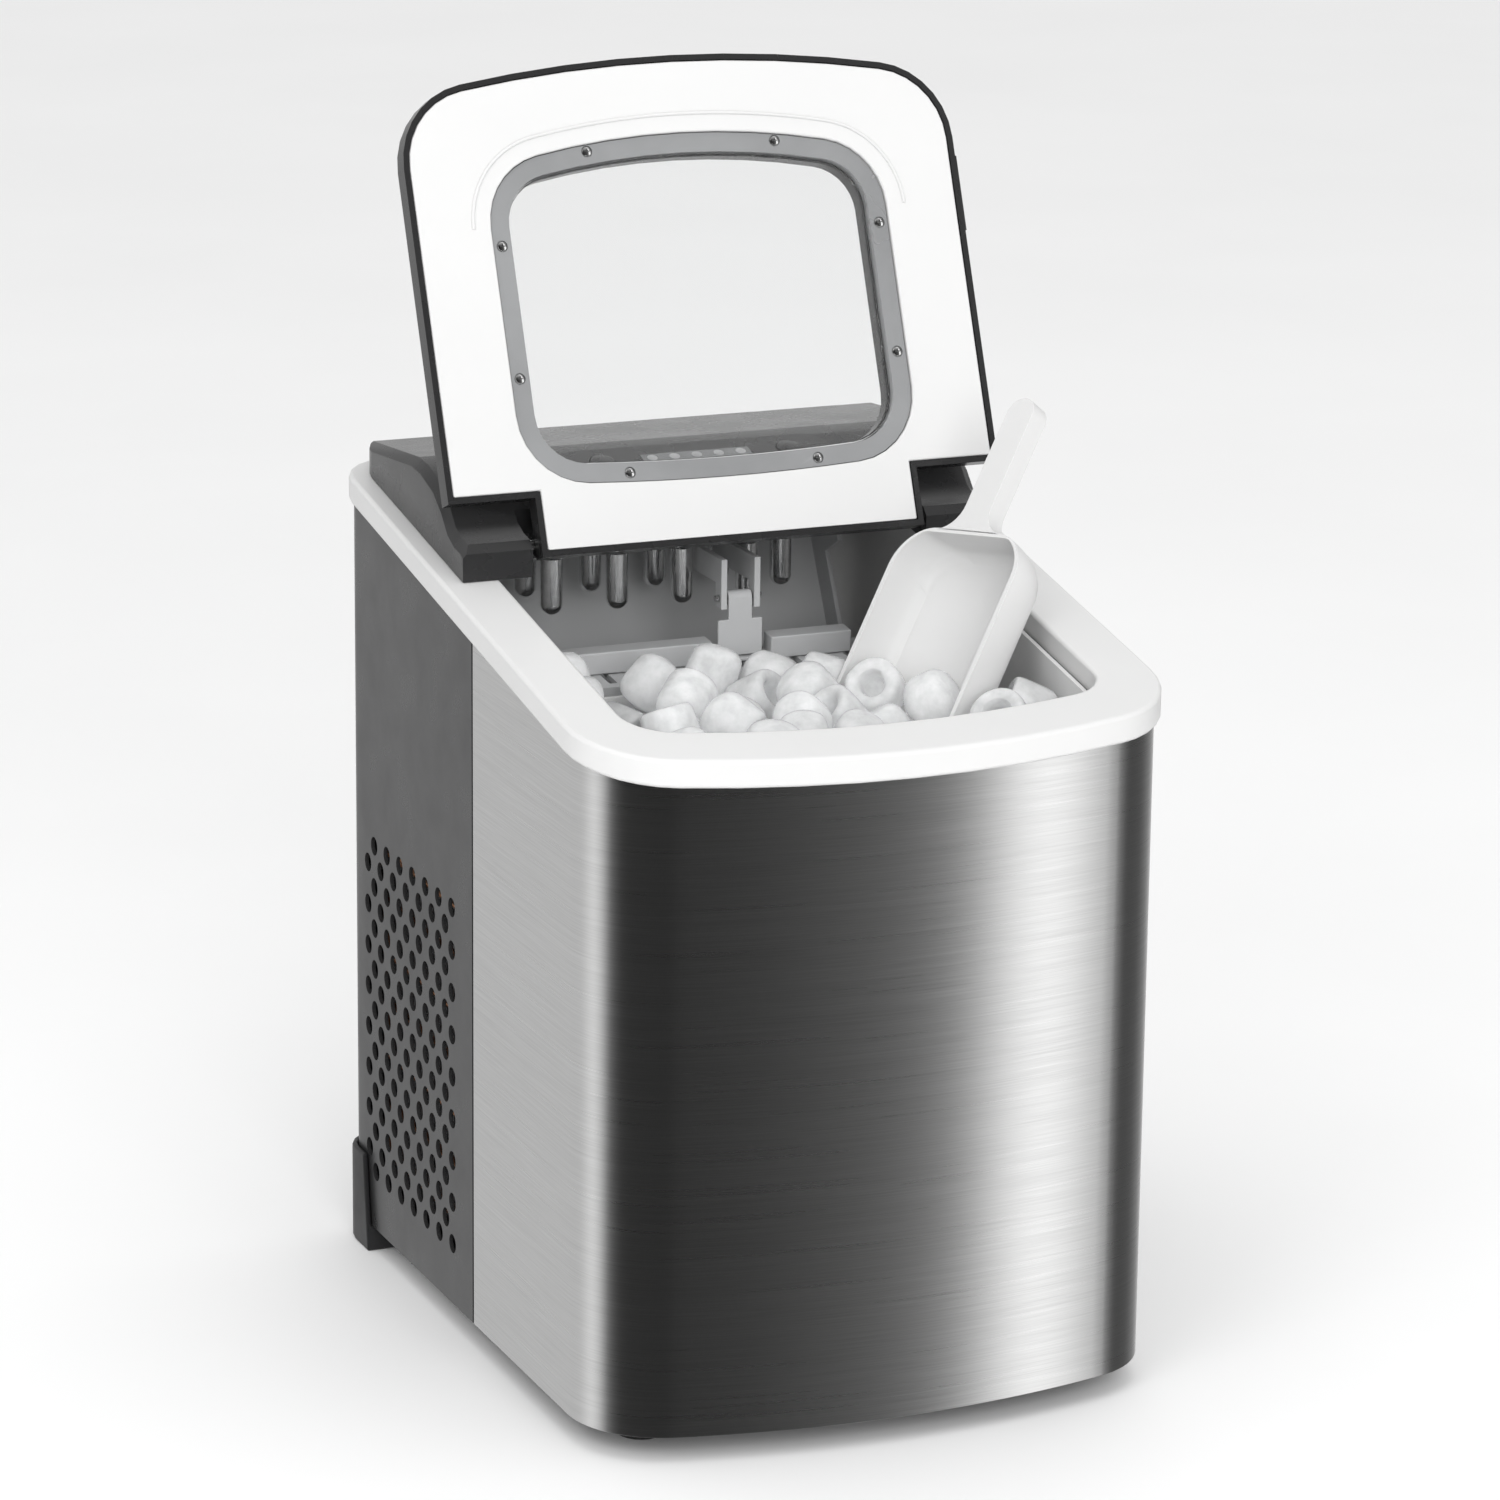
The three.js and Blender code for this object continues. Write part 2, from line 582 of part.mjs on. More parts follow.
function lidShell() {
  const inner = LID_INNER_FACE;
  const outer = inner - LID_THICKNESS;
  const layers = [
    prism(lidOutline(4.5), outer, outer + 1.3),
    prism(lidOutline(2.4), outer + 1, outer + 2.9),
    prism(lidOutline(0.9), outer + 2.6, outer + 5),
    prism(lidOutline(0), outer + 4.6, inner),
  ];
  const hollow = prism(lidOutline(LID_SKIN + 3), outer + LID_SKIN, inner - 4);
  const mouth = prism(lidOutline(LID_SKIN), inner - LINER_THICKNESS - GAP, inner + 1);
  const neck = prism(lidOutline(LID_SKIN + 3), inner - 5, inner);
  const opening = prism(windowOutline(FRAME_WIDTH + 1), outer - 1, inner + 1);
  const tab = box(LID_HALF_WIDTH - 1, LID_HALF_WIDTH + 1.4, 106, 135, outer + 5, inner - 2);
  const body = joined(layers).add(tab).subtract(hollow).subtract(mouth).subtract(neck).subtract(opening);
  const curb = prism(windowOutline(FRAME_WIDTH - 2), outer + 1, inner - 6).subtract(opening);
  return lidPinHoles(body.add(curb));
}

// Hinge pin, from inside the tongue's end out into an ear.
function hingePin(side, radius, length) {
  const inner = side * (LID_TONGUE_HALF - 6);
  return rod([inner, HINGE_Y, HINGE_Z], [inner + side * length, HINGE_Y, HINGE_Z], radius, 16);
}

function lidPinHoles(body) {
  const hole = (side) =>
    rod([side * (LID_TONGUE_HALF - 6 - GAP), 0, 0], [side * (LID_TONGUE_HALF + 13), 0, 0], PIN_RADIUS + GAP, 16);
  const boss = (side) => {
    const inner = side * (LID_TONGUE_HALF - 9);
    return rod([inner, 0, 0.5], [side * (LID_TONGUE_HALF - 0.5), 0, 0.5], 4.5, 20);
  };
  return body.add(boss(1)).add(boss(-1)).subtract(hole(1)).subtract(hole(-1));
}

function lidLiner() {
  const inner = LID_INNER_FACE;
  const plate = prism(lidOutline(LID_SKIN + GAP), inner - LINER_THICKNESS, inner);
  return plate.subtract(prism(windowOutline(0), -20, 20));
}

function windowFrame() {
  const top = LID_INNER_FACE - 1.2;
  const base = LID_INNER_FACE - 6 + GAP;
  const ring = prism(windowOutline(GAP), base, top).subtract(prism(windowOutline(FRAME_WIDTH), -20, 20));
  const screws = screwPlaces().map(([x, y]) => rod([x, y, top - 0.9], [x, y, top + 2], SCREW_RADIUS + GAP, 12));
  return ring.subtract(Solid.union(screws));
}

function windowPane() {
  const low = LID_INNER_FACE - 6 + GAP;
  return prism(windowOutline(FRAME_WIDTH + GAP), low, low + PANE_THICKNESS);
}

function screwPlaces() {
  const places = [];
  for (const side of [-1, 1]) {
    places.push([side * 38, WINDOW_END - 5.2]);
    places.push([side * (WINDOW_HALF_WIDTH - 3.7), 111]);
    places.push([side * (WINDOW_HALF_WIDTH - 3.7), 61]);
    places.push([side * 38, WINDOW_START + 4.4]);
  }
  return places;
}

function lidScrew([x, y]) {
  const low = LID_INNER_FACE - 1.2 - 0.9 + GAP;
  const head = rod([x, y, low], [x, y, low + 1.1], SCREW_RADIUS, 12);
  return head.subtract(box(x - 1.2, x + 1.2, y - 0.3, y + 0.3, low + 0.7, low + 3));
}

function lidGroup() {
  const lid = new THREE.Group();
  lid.add(named("lid_shell", lidShell(), DARK_PLASTIC));
  lid.add(named("lid_liner", lidLiner(), WHITE_PLASTIC));
  lid.add(named("window_frame", windowFrame(), GREY_PLASTIC));
  lid.add(named("window_pane", windowPane(), CLEAR_PLASTIC));
  screwPlaces().forEach((place, i) => lid.add(named(`lid_screw_${i + 1}`, lidScrew(place), CHROME)));
  lid.position.set(0, HINGE_Y, HINGE_Z);
  lid.rotation.x = LID_OPEN_DEG * DEG;
  return lid;
}

// ---- ice chamber ----

function finger(x, y) {
  const r = FINGER_RADIUS;
  const low = FINGER_BOTTOM;
  const profile = [[0, low], [r * 0.6, low + 0.5], [r * 0.92, low + 1.8], [r, low + 3.6], [r, FINGER_TOP], [0, FINGER_TOP]];
  return turned(profile, 10).translate([x, y, 0]);
}

function uTubeRoute() {
  const start = FINGER_FIRST_X - 14;
  const middleY = FINGER_ROW_Y + FINGER_ROW_GAP / 2;
  const at = (x, y) => new THREE.Vector3(x, y, FINGER_TOP);
  const bend = arc(BEND_X + 6, middleY, FINGER_ROW_GAP / 2, -90, 90, 6).map(([x, y]) => at(x, y));
  return [at(start, FINGER_ROW_Y), ...bend, at(start, FINGER_ROW_Y + FINGER_ROW_GAP)];
}

function evaporator() {
  const points = uTubeRoute();
  const pieces = [];
  for (let i = 0; i + 1 < points.length; i += 1) {
    const [a, b] = [points[i], points[i + 1]];
    const over = b.clone().sub(a).normalize().multiplyScalar(0.8);
    pieces.push(rod(a.clone().sub(over).toArray(), b.clone().add(over).toArray(), TUBE_RADIUS, 8));
  }
  for (let i = 0; i < FINGERS_IN_ROW; i += 1) {
    const x = FINGER_FIRST_X + i * FINGER_PITCH;
    pieces.push(finger(x, FINGER_ROW_Y), finger(x, FINGER_ROW_Y + FINGER_ROW_GAP));
  }
  pieces.push(finger(BEND_X + 6 + FINGER_ROW_GAP / 2, FINGER_ROW_Y + FINGER_ROW_GAP / 2));
  return Solid.union(pieces);
}

// The plastic bridge that carries the evaporator and the ice-full paddle, hung from the cover.
function evaporatorBracket() {
  const low = FINGER_TOP + TUBE_RADIUS + GAP;
  const bar = box(-70, 50, FINGER_ROW_Y + 8, FINGER_ROW_Y + FINGER_ROW_GAP - 8, low, low + 3);
  const post = (x) => box(x - 3, x + 3, FINGER_ROW_Y + 10, FINGER_ROW_Y + 18, low + 2, COVER_TOP_FRONT - 8);
  const [x0, x1] = [PADDLE_X - 8, PADDLE_X - 5.5];
  const underTube = FINGER_TOP - TUBE_RADIUS - 0.5;
  const reach = box(x0, x1, PADDLE_Y - 3, FINGER_ROW_Y + 18, underTube - 10, underTube);
  const riser = box(x0, x1, FINGER_ROW_Y + 8, FINGER_ROW_Y + 18, underTube - 10, low + 3);
  const ear = box(x0, x1, PADDLE_Y - 3, PADDLE_Y + 3, PADDLE_Z - 4, underTube - 5);
  const arm = joined([reach, riser, ear]);
  const farArm = arm.translate([13.5, 0, 0]);
  const pinHole = rod([PADDLE_X - 30, PADDLE_Y, PADDLE_Z], [PADDLE_X + 30, PADDLE_Y, PADDLE_Z], 1.2 + GAP / 2, 12);
  return joined([bar, post(-50), post(30), arm, farArm]).subtract(pinHole);
}

function icePaddle() {
  const sleeve = rod([PADDLE_X - 4.8, PADDLE_Y, PADDLE_Z], [PADDLE_X + 4.8, PADDLE_Y, PADDLE_Z], 2.8, 16);
  const [y0, y1] = [PADDLE_Y - 2.8, PADDLE_Y - 1.6];
  const blade = box(PADDLE_X - 4.8, PADDLE_X + 4.8, y0, y1, PADDLE_Z - PADDLE_LENGTH + 4, PADDLE_Z);
  const flag = box(PADDLE_X - 9, PADDLE_X + 9, y0, y1, PADDLE_Z - PADDLE_LENGTH, PADDLE_Z - 8);
  const bore = rod([PADDLE_X - 9, PADDLE_Y, PADDLE_Z], [PADDLE_X + 9, PADDLE_Y, PADDLE_Z], 1.2 + GAP / 2, 12);
  return joined([sleeve, blade, flag]).subtract(bore);
}

function paddlePin() {
  return rod([PADDLE_X - 9.5, PADDLE_Y, PADDLE_Z], [PADDLE_X + 9.5, PADDLE_Y, PADDLE_Z], 1.2, 12);
}

// The water tray in its own frame: the pivot at the origin, its trough level and open upwards.
function waterTray() {
  const half = TRAY_HALF_LENGTH;
  const floor = -TRAY_DEPTH - 4;
  const outer = box(-half, half, -TRAY_REACH - TRAY_WALL, 6, floor, -9);
  const inner = box(-half + TRAY_WALL, half - TRAY_WALL, -TRAY_REACH, 6 - TRAY_WALL, floor + TRAY_WALL, 0);
  const cheek = box(-half, -half + TRAY_WALL, -8, 6, floor + 2, 5);
  const farCheek = cheek.translate([2 * half - TRAY_WALL, 0, 0]);
  const axle = (side) => rod([side * (half - 1), 0, 0], [side * (half + 13), 0, 0], TRAY_AXLE_RADIUS, 16);
  const trough = joined([outer, cheek, farCheek]).subtract(inner);
  return joined([trough, axle(1), axle(-1)]);
}

function trayGroup() {
  const tray = new THREE.Group();
  tray.add(named("water_tray", waterTray(), GREY_PLASTIC));
  tray.position.set(0, TRAY_PIVOT_Y, TRAY_PIVOT_Z);
  tray.rotation.x = TRAY_DOWN_DEG * DEG;
  return tray;
}

function trayMotor() {
  const start = OPENING_HALF_WIDTH + TANK_WALL + GAP;
  const [y, z] = [TRAY_PIVOT_Y, TRAY_PIVOT_Z];
  const can = rod([start, y, z - 16], [start + 11, y, z - 16], 16, 20);
  const plate = box(start, start + 3, y - 18, y + 18, z - 24, z - 6);
  const cup = rod([start, y, z], [start + 8, y, z], TRAY_AXLE_RADIUS + 4, 16);
  const bore = rod([start - 1, y, z], [start + 6, y, z], TRAY_AXLE_RADIUS + GAP, 16);
  return joined([can, plate, cup]).subtract(bore).intersect(slopedSlab(-80, -RIM_DEPTH - GAP));
}

function onLedge(piece) {
  return piece.rotate([GRILLE_SLOPE_DEG, 0, 0]).translate([0, GRILLE_FRONT, GRILLE_HEIGHT]);
}

// The slotted rack that ice slides down and water falls through.
function dripGrille() {
  const half = OPENING_HALF_WIDTH - FIT;
  const depth = GRILLE_BACK - GRILLE_FRONT;
  let plate = box(-half, half, 0, depth, -2, 0).add(box(-half, half, 0, 2, -8, -1));
  for (let x = -half + 10; x < half - 6; x += 11) {
    plate = plate.subtract(box(x, x + 3.2, 4, depth - 4, -5, 5));
  }
  return onLedge(plate);
}

// The pusher that sweeps ice over the rack: a low bar with a gap for the paddle.
function icePusher() {
  const depth = GRILLE_BACK - GRILLE_FRONT;
  const back = depth - 7;
  const bar = box(-76, 54, back - 8, back, GAP, 1.8);
  const left = box(-76, PADDLE_X - 12, back - 8, back, GAP, 9);
  const right = box(PADDLE_X + 12, 54, back - 8, back, GAP, 9);
  return onLedge(joined([bar, left, right]));
}

// ---- basket, ice and scoop ----

function iceBasket() {
  const gap = FIT + 0.4;
  const back = TANK_BACK - gap;
  const outline = (inset) => openingOutline(inset, back);
  const low = BASKET_TOP - BASKET_DEPTH;
  const outer = prism(outline(gap), low, BASKET_TOP + 50).intersect(slopedSlab(-300, -8));
  const inner = prism(outline(gap + BASKET_WALL), low + BASKET_WALL, BASKET_TOP + 70);
  const cut = box(-200, 200, -200, 200, BASKET_TOP - 6, 400).intersect(box(-200, 200, 5, 200, 0, 400));
  let basket = outer.subtract(inner).subtract(cut);
  for (let x = -66; x <= 66; x += 22) {
    basket = basket.subtract(box(x - 3, x + 3, -96, -8, low - 5, low + 5));
  }
  return basket;
}

function iceHeap() {
  const inset = FIT + 0.4 + BASKET_WALL + GAP;
  const back = TANK_BACK - FIT - 0.4;
  const low = BASKET_TOP - BASKET_DEPTH + BASKET_WALL + GAP;
  const bulk = prism(openingOutline(inset, back - BASKET_WALL), low, BASKET_TOP + 80);
  const crown = [
    [-150, -2], [-118, 4], [-90, 10], [-50, 12], [-10, 6], [10, -4], [30, -12], [30, -150], [-150, -150],
  ].map(([y, z]) => [y, BASKET_TOP + z]);
  const heap = bulk.intersect(prismAlongX(crown.reverse(), -100, 100));
  return heap.subtract(scoopPocket());
}

// The scoop in its own frame: the handle along +Z, the blade's hollow facing -Y.
function scoopShape() {
  const half = SCOOP_WIDTH / 2;
  const depth = SCOOP_DEPTH;
  const top = SCOOP_BLADE;
  const outline = (inset) => {
    const w = half - inset;
    const shoulder = top - inset;
    return [
      [-w, 0], [w, 0], [w, shoulder - 16], [w - 2.5, shoulder - 8], [w - 8, shoulder - 2.5], [w - 16, shoulder],
      [-w + 16, shoulder], [-w + 8, shoulder - 2.5], [-w + 2.5, shoulder - 8], [-w, shoulder - 16],
    ];
  };
  const upright = (points, y0, y1) =>
    prism(points.map(([x, z]) => [x, -z]), y0, y1).rotate([-90, 0, 0]);
  const outer = upright(outline(0), 0, depth);
  const inner = upright(outline(SCOOP_WALL).map(([x, z]) => [x, z === 0 ? -5 : z]), -5, depth - SCOOP_WALL);
  const hw = SCOOP_HANDLE_WIDTH / 2;
  const reach = top + SCOOP_HANDLE;
  const thick = SCOOP_HANDLE_THICKNESS;
  const handle = box(-hw, hw, 0, thick, top - 1.5, reach).add(rod([0, 0, reach], [0, thick, reach], hw, 20));
  return { outer, inner, handle };
}

function placeScoop(piece) {
  const leaning = piece.rotate([0, SCOOP_LEAN_DEG, 0]).rotate([SCOOP_TILT_DEG, 0, 0]);
  return leaning.rotate([0, 0, SCOOP_TURN_DEG]).translate(SCOOP_PLACE);
}

function scoop() {
  const { outer, inner, handle } = scoopShape();
  return placeScoop(outer.subtract(inner).add(handle));
}

// The room in the ice that lets the scoop rise up and forward.
function scoopPocket() {
  const half = SCOOP_WIDTH / 2 + FIT;
  const room = placeScoop(box(-half, half, -FIT - 26, SCOOP_DEPTH + FIT, -FIT, SCOOP_BLADE));
  const steps = Array.from({ length: SCOOP_POCKET_STEPS }, (_, i) => i * SCOOP_POCKET_STEP);
  return joined(steps.map((step) => room.translate(SCOOP_LIFT.map((part) => part * step))));
}

// ---- machine room ----

function compressor() {
  const [x, y, z] = [30, 78, PANEL_BOTTOM + 3 + GAP];
  const can = turned([[0, 8], [30, 8], [41, 14], [44, 26], [44, 96], [41, 108], [30, 115], [0, 118]], 28);
  const feet = box(-50, 50, -8, 8, 0, 4).add(box(-8, 8, -50, 50, 0, 4)).add(turned([[0, 0], [12, 0], [12, 12], [0, 12]], 16));
  return can.add(feet).translate([x, y, z]);
}

function condenser() {
  const x0 = -BODY_HALF_WIDTH + SHELL_SKIN + 6;
  const [y0, y1, z0, z1] = [26, 122, 28, 172];
  let core = box(x0, x0 + 16, y0, y1, z0, z1);
  for (let z = z0 + 6; z < z1 - 6; z += 12) {
    core = core.subtract(box(x0 - 1, x0 + 6, y0 + 4, y1 - 4, z, z + 8));
    core = core.subtract(box(x0 + 10, x0 + 17, y0 + 4, y1 - 4, z, z + 8));
  }
  const stand = box(x0, x0 + 16, y0 + 10, y1 - 10, PANEL_BOTTOM + 3 + GAP, z0 + 1);
  return core.add(stand);
}

function fanShroud() {
  const ring = rod([FAN_X - 14, FAN_Y, FAN_Z], [FAN_X + 10, FAN_Y, FAN_Z], FAN_RADIUS + 5, 32);
  const bore = rod([FAN_X - 30, FAN_Y, FAN_Z], [FAN_X + 30, FAN_Y, FAN_Z], FAN_RADIUS + 2, 32);
  const low = PANEL_BOTTOM + 3 + GAP;
  const foot = box(FAN_X - 14, FAN_X + 10, FAN_Y - 30, FAN_Y + 30, low, FAN_Z - FAN_RADIUS + 12);
  const spoke = box(FAN_X + 6, FAN_X + 10, FAN_Y - 3, FAN_Y + 3, FAN_Z - FAN_RADIUS - 3, FAN_Z + FAN_RADIUS + 3);
  const can = rod([FAN_X + 2, FAN_Y, FAN_Z], [FAN_X + 12, FAN_Y, FAN_Z], 14, 20);
  const ringOnFoot = ring.add(foot).subtract(bore);
  const shaft = rod([FAN_X - 8, FAN_Y, FAN_Z], [FAN_X + 4, FAN_Y, FAN_Z], 2, 12);
  return joined([ringOnFoot, spoke, can, shaft]);
}

function fanBlade() {
  const hub = rod([FAN_X - 12, FAN_Y, FAN_Z], [FAN_X + 1, FAN_Y, FAN_Z], 10, 20);
  const blades = [];
  for (let i = 0; i < 5; i += 1) {
    const blade = box(-1, 1, -9, 9, 6, FAN_RADIUS - 1).rotate([0, 0, 32]).rotate([i * 72, 0, 0]);
    blades.push(blade.translate([FAN_X - 6, FAN_Y, FAN_Z]));
  }
  const bore = rod([FAN_X - 8 - GAP, FAN_Y, FAN_Z], [FAN_X + 5, FAN_Y, FAN_Z], 2 + GAP, 12);
  return Solid.union([hub, ...blades]).subtract(bore);
}

function waterPump() {
  const low = PANEL_BOTTOM + 3 + GAP;
  const [x, y] = [60, -30];
  const body = rod([x, y, low], [x, y, low + 30], 16, 20).add(rod([x, y, low + 28], [x, y, low + 38], 9, 16));
  const spout = rod([x, y, low + 22], [x - 28, y, low + 22], 4, 12);
  return body.add(spout).add(box(x - 20, x + 20, y - 6, y + 6, low, low + 3));
}

function suctionPipe() {
  const y = 78;
  const x = 30;
  const low = PANEL_BOTTOM + 3 + GAP + 118 + GAP;
  const up = rod([x, y, low], [x, y, low + 22], 3, 12);
  const over = rod([x, y, low + 20], [-40, y + 20, low + 20], 3, 12);
  const collar = rod([x, y, low], [x, y, low + 3], 5, 12);
  return joined([up, over, collar]);
}

// ---- the whole machine ----

function build() {
  const machine = new THREE.Group();
  const add = (name, shape, material) => machine.add(named(name, shape, material));
  add("base_pan", basePan(), BLACK_PLASTIC);
  add("front_foot_left", frontFoot(-1), RUBBER);
  add("front_foot_right", frontFoot(1), RUBBER);
  add("rear_bumper_left", rearBumper(-1), BLACK_PLASTIC);
  add("rear_bumper_right", rearBumper(1), BLACK_PLASTIC);
  add("front_wrap", frontWrap(), BRUSHED);
  add("rear_shell", rearShell(), DARK_PAINT);
  add("power_inlet", powerInlet(), BLACK_PLASTIC);
  add("top_rim", topRim(), WHITE_PLASTIC);
  add("inner_tank", innerTank(), WHITE_PLASTIC);
  add("drain_cap", drainCap(), RUBBER);
  add("top_cover", topCover(), DARK_PLASTIC);
  add("control_panel", controlPanel(), DARK_PLASTIC);
  add("power_button", pushButton(BUTTON_X[0]), DARK_PLASTIC);
  add("select_button", pushButton(BUTTON_X[1]), DARK_PLASTIC);
  add("indicator_strip", indicatorStrip(), CLEAR_PLASTIC);
  add("circuit_board", circuitBoard(), BOARD_GREEN);
  add("hinge_pin_left", hingePin(-1, PIN_RADIUS, PIN_LENGTH), CHROME);
  add("hinge_pin_right", hingePin(1, PIN_RADIUS, PIN_LENGTH), CHROME);
  machine.add(lidGroup());
  add("evaporator", evaporator(), CHROME);
  add("evaporator_bracket", evaporatorBracket(), GREY_PLASTIC);
  add("ice_paddle", icePaddle(), GREY_PLASTIC);
  add("paddle_pin", paddlePin(), CHROME);
  machine.add(trayGroup());
  add("tray_motor", trayMotor(), BLACK_PLASTIC);
  add("drip_grille", dripGrille(), GREY_PLASTIC);
  add("ice_pusher", icePusher(), GREY_PLASTIC);
  add("ice_basket", iceBasket(), WHITE_PLASTIC);
  add("ice_heap", iceHeap(), ICE);
  add("scoop", scoop(), WHITE_PLASTIC);
  add("compressor", compressor(), BLACK_PLASTIC);
  add("condenser", condenser(), ALUMINIUM);
  add("fan_shroud", fanShroud(), BLACK_PLASTIC);
  add("fan_blade", fanBlade(), BLACK_PLASTIC);
  add("water_pump", waterPump(), BLACK_PLASTIC);
  add("suction_pipe", suctionPipe(), COPPER);
  return machine;
}

export default build();
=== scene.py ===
"""Looks for a countertop ice maker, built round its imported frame. Metres, +Z up, front towards -Y."""
import json
import math
import random

import bmesh
import bpy
from mathutils import Matrix, Vector, noise

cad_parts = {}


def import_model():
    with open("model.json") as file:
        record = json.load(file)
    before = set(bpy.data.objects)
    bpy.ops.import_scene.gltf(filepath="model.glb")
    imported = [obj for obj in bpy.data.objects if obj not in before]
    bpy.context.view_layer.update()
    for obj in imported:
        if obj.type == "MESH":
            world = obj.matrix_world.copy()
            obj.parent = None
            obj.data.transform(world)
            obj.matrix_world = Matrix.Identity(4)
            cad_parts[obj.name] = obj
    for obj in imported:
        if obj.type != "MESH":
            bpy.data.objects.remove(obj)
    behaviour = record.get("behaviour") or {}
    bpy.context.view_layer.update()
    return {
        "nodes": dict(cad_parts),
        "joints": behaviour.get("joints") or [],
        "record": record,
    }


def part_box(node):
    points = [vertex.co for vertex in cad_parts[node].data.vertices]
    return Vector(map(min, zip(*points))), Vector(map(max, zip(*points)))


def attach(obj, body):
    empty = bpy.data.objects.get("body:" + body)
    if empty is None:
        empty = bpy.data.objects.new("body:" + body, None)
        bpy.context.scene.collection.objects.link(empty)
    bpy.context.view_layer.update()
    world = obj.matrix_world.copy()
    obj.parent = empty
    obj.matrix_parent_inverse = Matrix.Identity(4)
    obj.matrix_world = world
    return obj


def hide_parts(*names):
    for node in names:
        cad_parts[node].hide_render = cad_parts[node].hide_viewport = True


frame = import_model()
SCENE = bpy.context.scene
MM = 0.001

# ---- driving values, as the frame was made ----

HALF_WIDTH = 112 * MM
FRONT_Y = -144 * MM
BACK_Y = 144 * MM
BOW_RADIUS = 348 * MM
FRONT_CORNER = 36 * MM
BACK_CORNER = 15 * MM
PANEL_BOTTOM = 10 * MM
WRAP_SKIN = 0.8 * MM
SHELL_SKIN = 1.6 * MM
SEAM_Y = 0.5 * MM
SEAM_GAP = 0.8 * MM
RIM_MID_HEIGHT = 286 * MM
RIM_SLOPE = 0.179
RIM_DEPTH = 10.5 * MM
OPENING_HALF = 92 * MM
OPENING_FRONT = -122 * MM
OPENING_CORNER = 20 * MM
GAP = 0.3 * MM

VENT_RADIUS = 3.7 * MM
VENT_PITCH_Y = 7.3 * MM
VENT_PITCH_Z = 16.6 * MM
VENT_FIRST_Y = 23 * MM
VENT_BOTTOM = 34 * MM
VENT_COLUMNS = 14
VENT_ROWS = 9
SLOT_COUNT = 11
SLOT_FIRST_X = -20 * MM
SLOT_PITCH = 9 * MM
SLOT_WIDTH = 4 * MM
SLOT_BOTTOM = 60 * MM
SLOT_TOP = 150 * MM

HINGE = Vector(next(j for j in frame["joints"] if j["name"] == "lid_hinge")["pos_m"])
LID_OPEN = math.radians(68)
LID = Matrix.Translation(HINGE) @ Matrix.Rotation(LID_OPEN, 4, "X")
LINER_FACE = 8.8 * MM

BODY_OF = {n: b for b, members in frame["record"]["behaviour"]["bodies"].items() for n in members}
SLOT_OF = {s["node"]: s["material_slot"] for s in frame["record"]["subparts"]}


# ---- shader helpers ----

class Shader:
    """A material under construction: its nodes, its links and its Principled shader."""

    def __init__(self, name):
        self.material = bpy.data.materials.new(name)
        self.material.use_nodes = True
        self.tree = self.material.node_tree
        self.tree.nodes.clear()
        self.out = self.tree.nodes.new("ShaderNodeOutputMaterial")
        self.surface = self.tree.nodes.new("ShaderNodeBsdfPrincipled")
        self.join(self.surface.outputs[0], self.out.inputs["Surface"])
        self.place = self.tree.nodes.new("ShaderNodeTexCoord").outputs["Object"]

    def join(self, source, target):
        self.tree.links.new(source, target)

    def set(self, **values):
        for key, value in values.items():
            self.surface.inputs[key.replace("_", " ")].default_value = value

    def stretched(self, scale):
        node = self.tree.nodes.new("ShaderNodeMapping")
        node.inputs["Scale"].default_value = scale
        self.join(self.place, node.inputs["Vector"])
        return node.outputs[0]

    def noise(self, scale, detail=3.0, roughness=0.55, place=None):
        node = self.tree.nodes.new("ShaderNodeTexNoise")
        node.inputs["Scale"].default_value = scale
        node.inputs["Detail"].default_value = detail
        node.inputs["Roughness"].default_value = roughness
        self.join(place or self.place, node.inputs["Vector"])
        return node.outputs["Fac"]

    def span(self, value, low, high, from_low=0.3, from_high=0.7):
        node = self.tree.nodes.new("ShaderNodeMapRange")
        for socket, number in zip(node.inputs[1:5], (from_low, from_high, low, high)):
            socket.default_value = number
        self.join(value, node.inputs[0])
        return node.outputs[0]

    def blend(self, value, low, high, from_low=0.3, from_high=0.7):
        node = self.tree.nodes.new("ShaderNodeValToRGB")
        node.color_ramp.elements[0].position = from_low
        node.color_ramp.elements[1].position = from_high
        node.color_ramp.elements[0].color = (*low, 1)
        node.color_ramp.elements[1].color = (*high, 1)
        self.join(value, node.inputs[0])
        return node.outputs[0]

    def bump(self, value, distance, strength=1.0, under=None):
        node = self.tree.nodes.new("ShaderNodeBump")
        node.inputs["Strength"].default_value = strength
        node.inputs["Distance"].default_value = distance
        self.join(value, node.inputs["Height"])
        if under:
            self.join(under, node.inputs["Normal"])
        return node.outputs[0]


def shade(color, factor):
    return tuple(min(1.0, c * factor) for c in color)


def moulded(name, color, rough, grain=900, depth=0.00004, uneven=0.04, metal=0.0, coat=0.0, drift=0.12):
    """Moulded or painted surface: soft colour drift, uneven gloss and a fine skin."""
    s = Shader(name)
    cloud = s.noise(14, 4)
    s.join(s.blend(cloud, shade(color, 1 - uneven), shade(color, 1 + uneven)), s.surface.inputs["Base Color"])
    s.join(s.span(s.noise(60, 3), rough * (1 - drift), rough * (1 + drift)), s.surface.inputs["Roughness"])
    s.join(s.bump(s.noise(grain, 2), depth, 0.14), s.surface.inputs["Normal"])
    s.set(Metallic=metal, Coat_Weight=coat, Coat_Roughness=0.15)
    return s.material


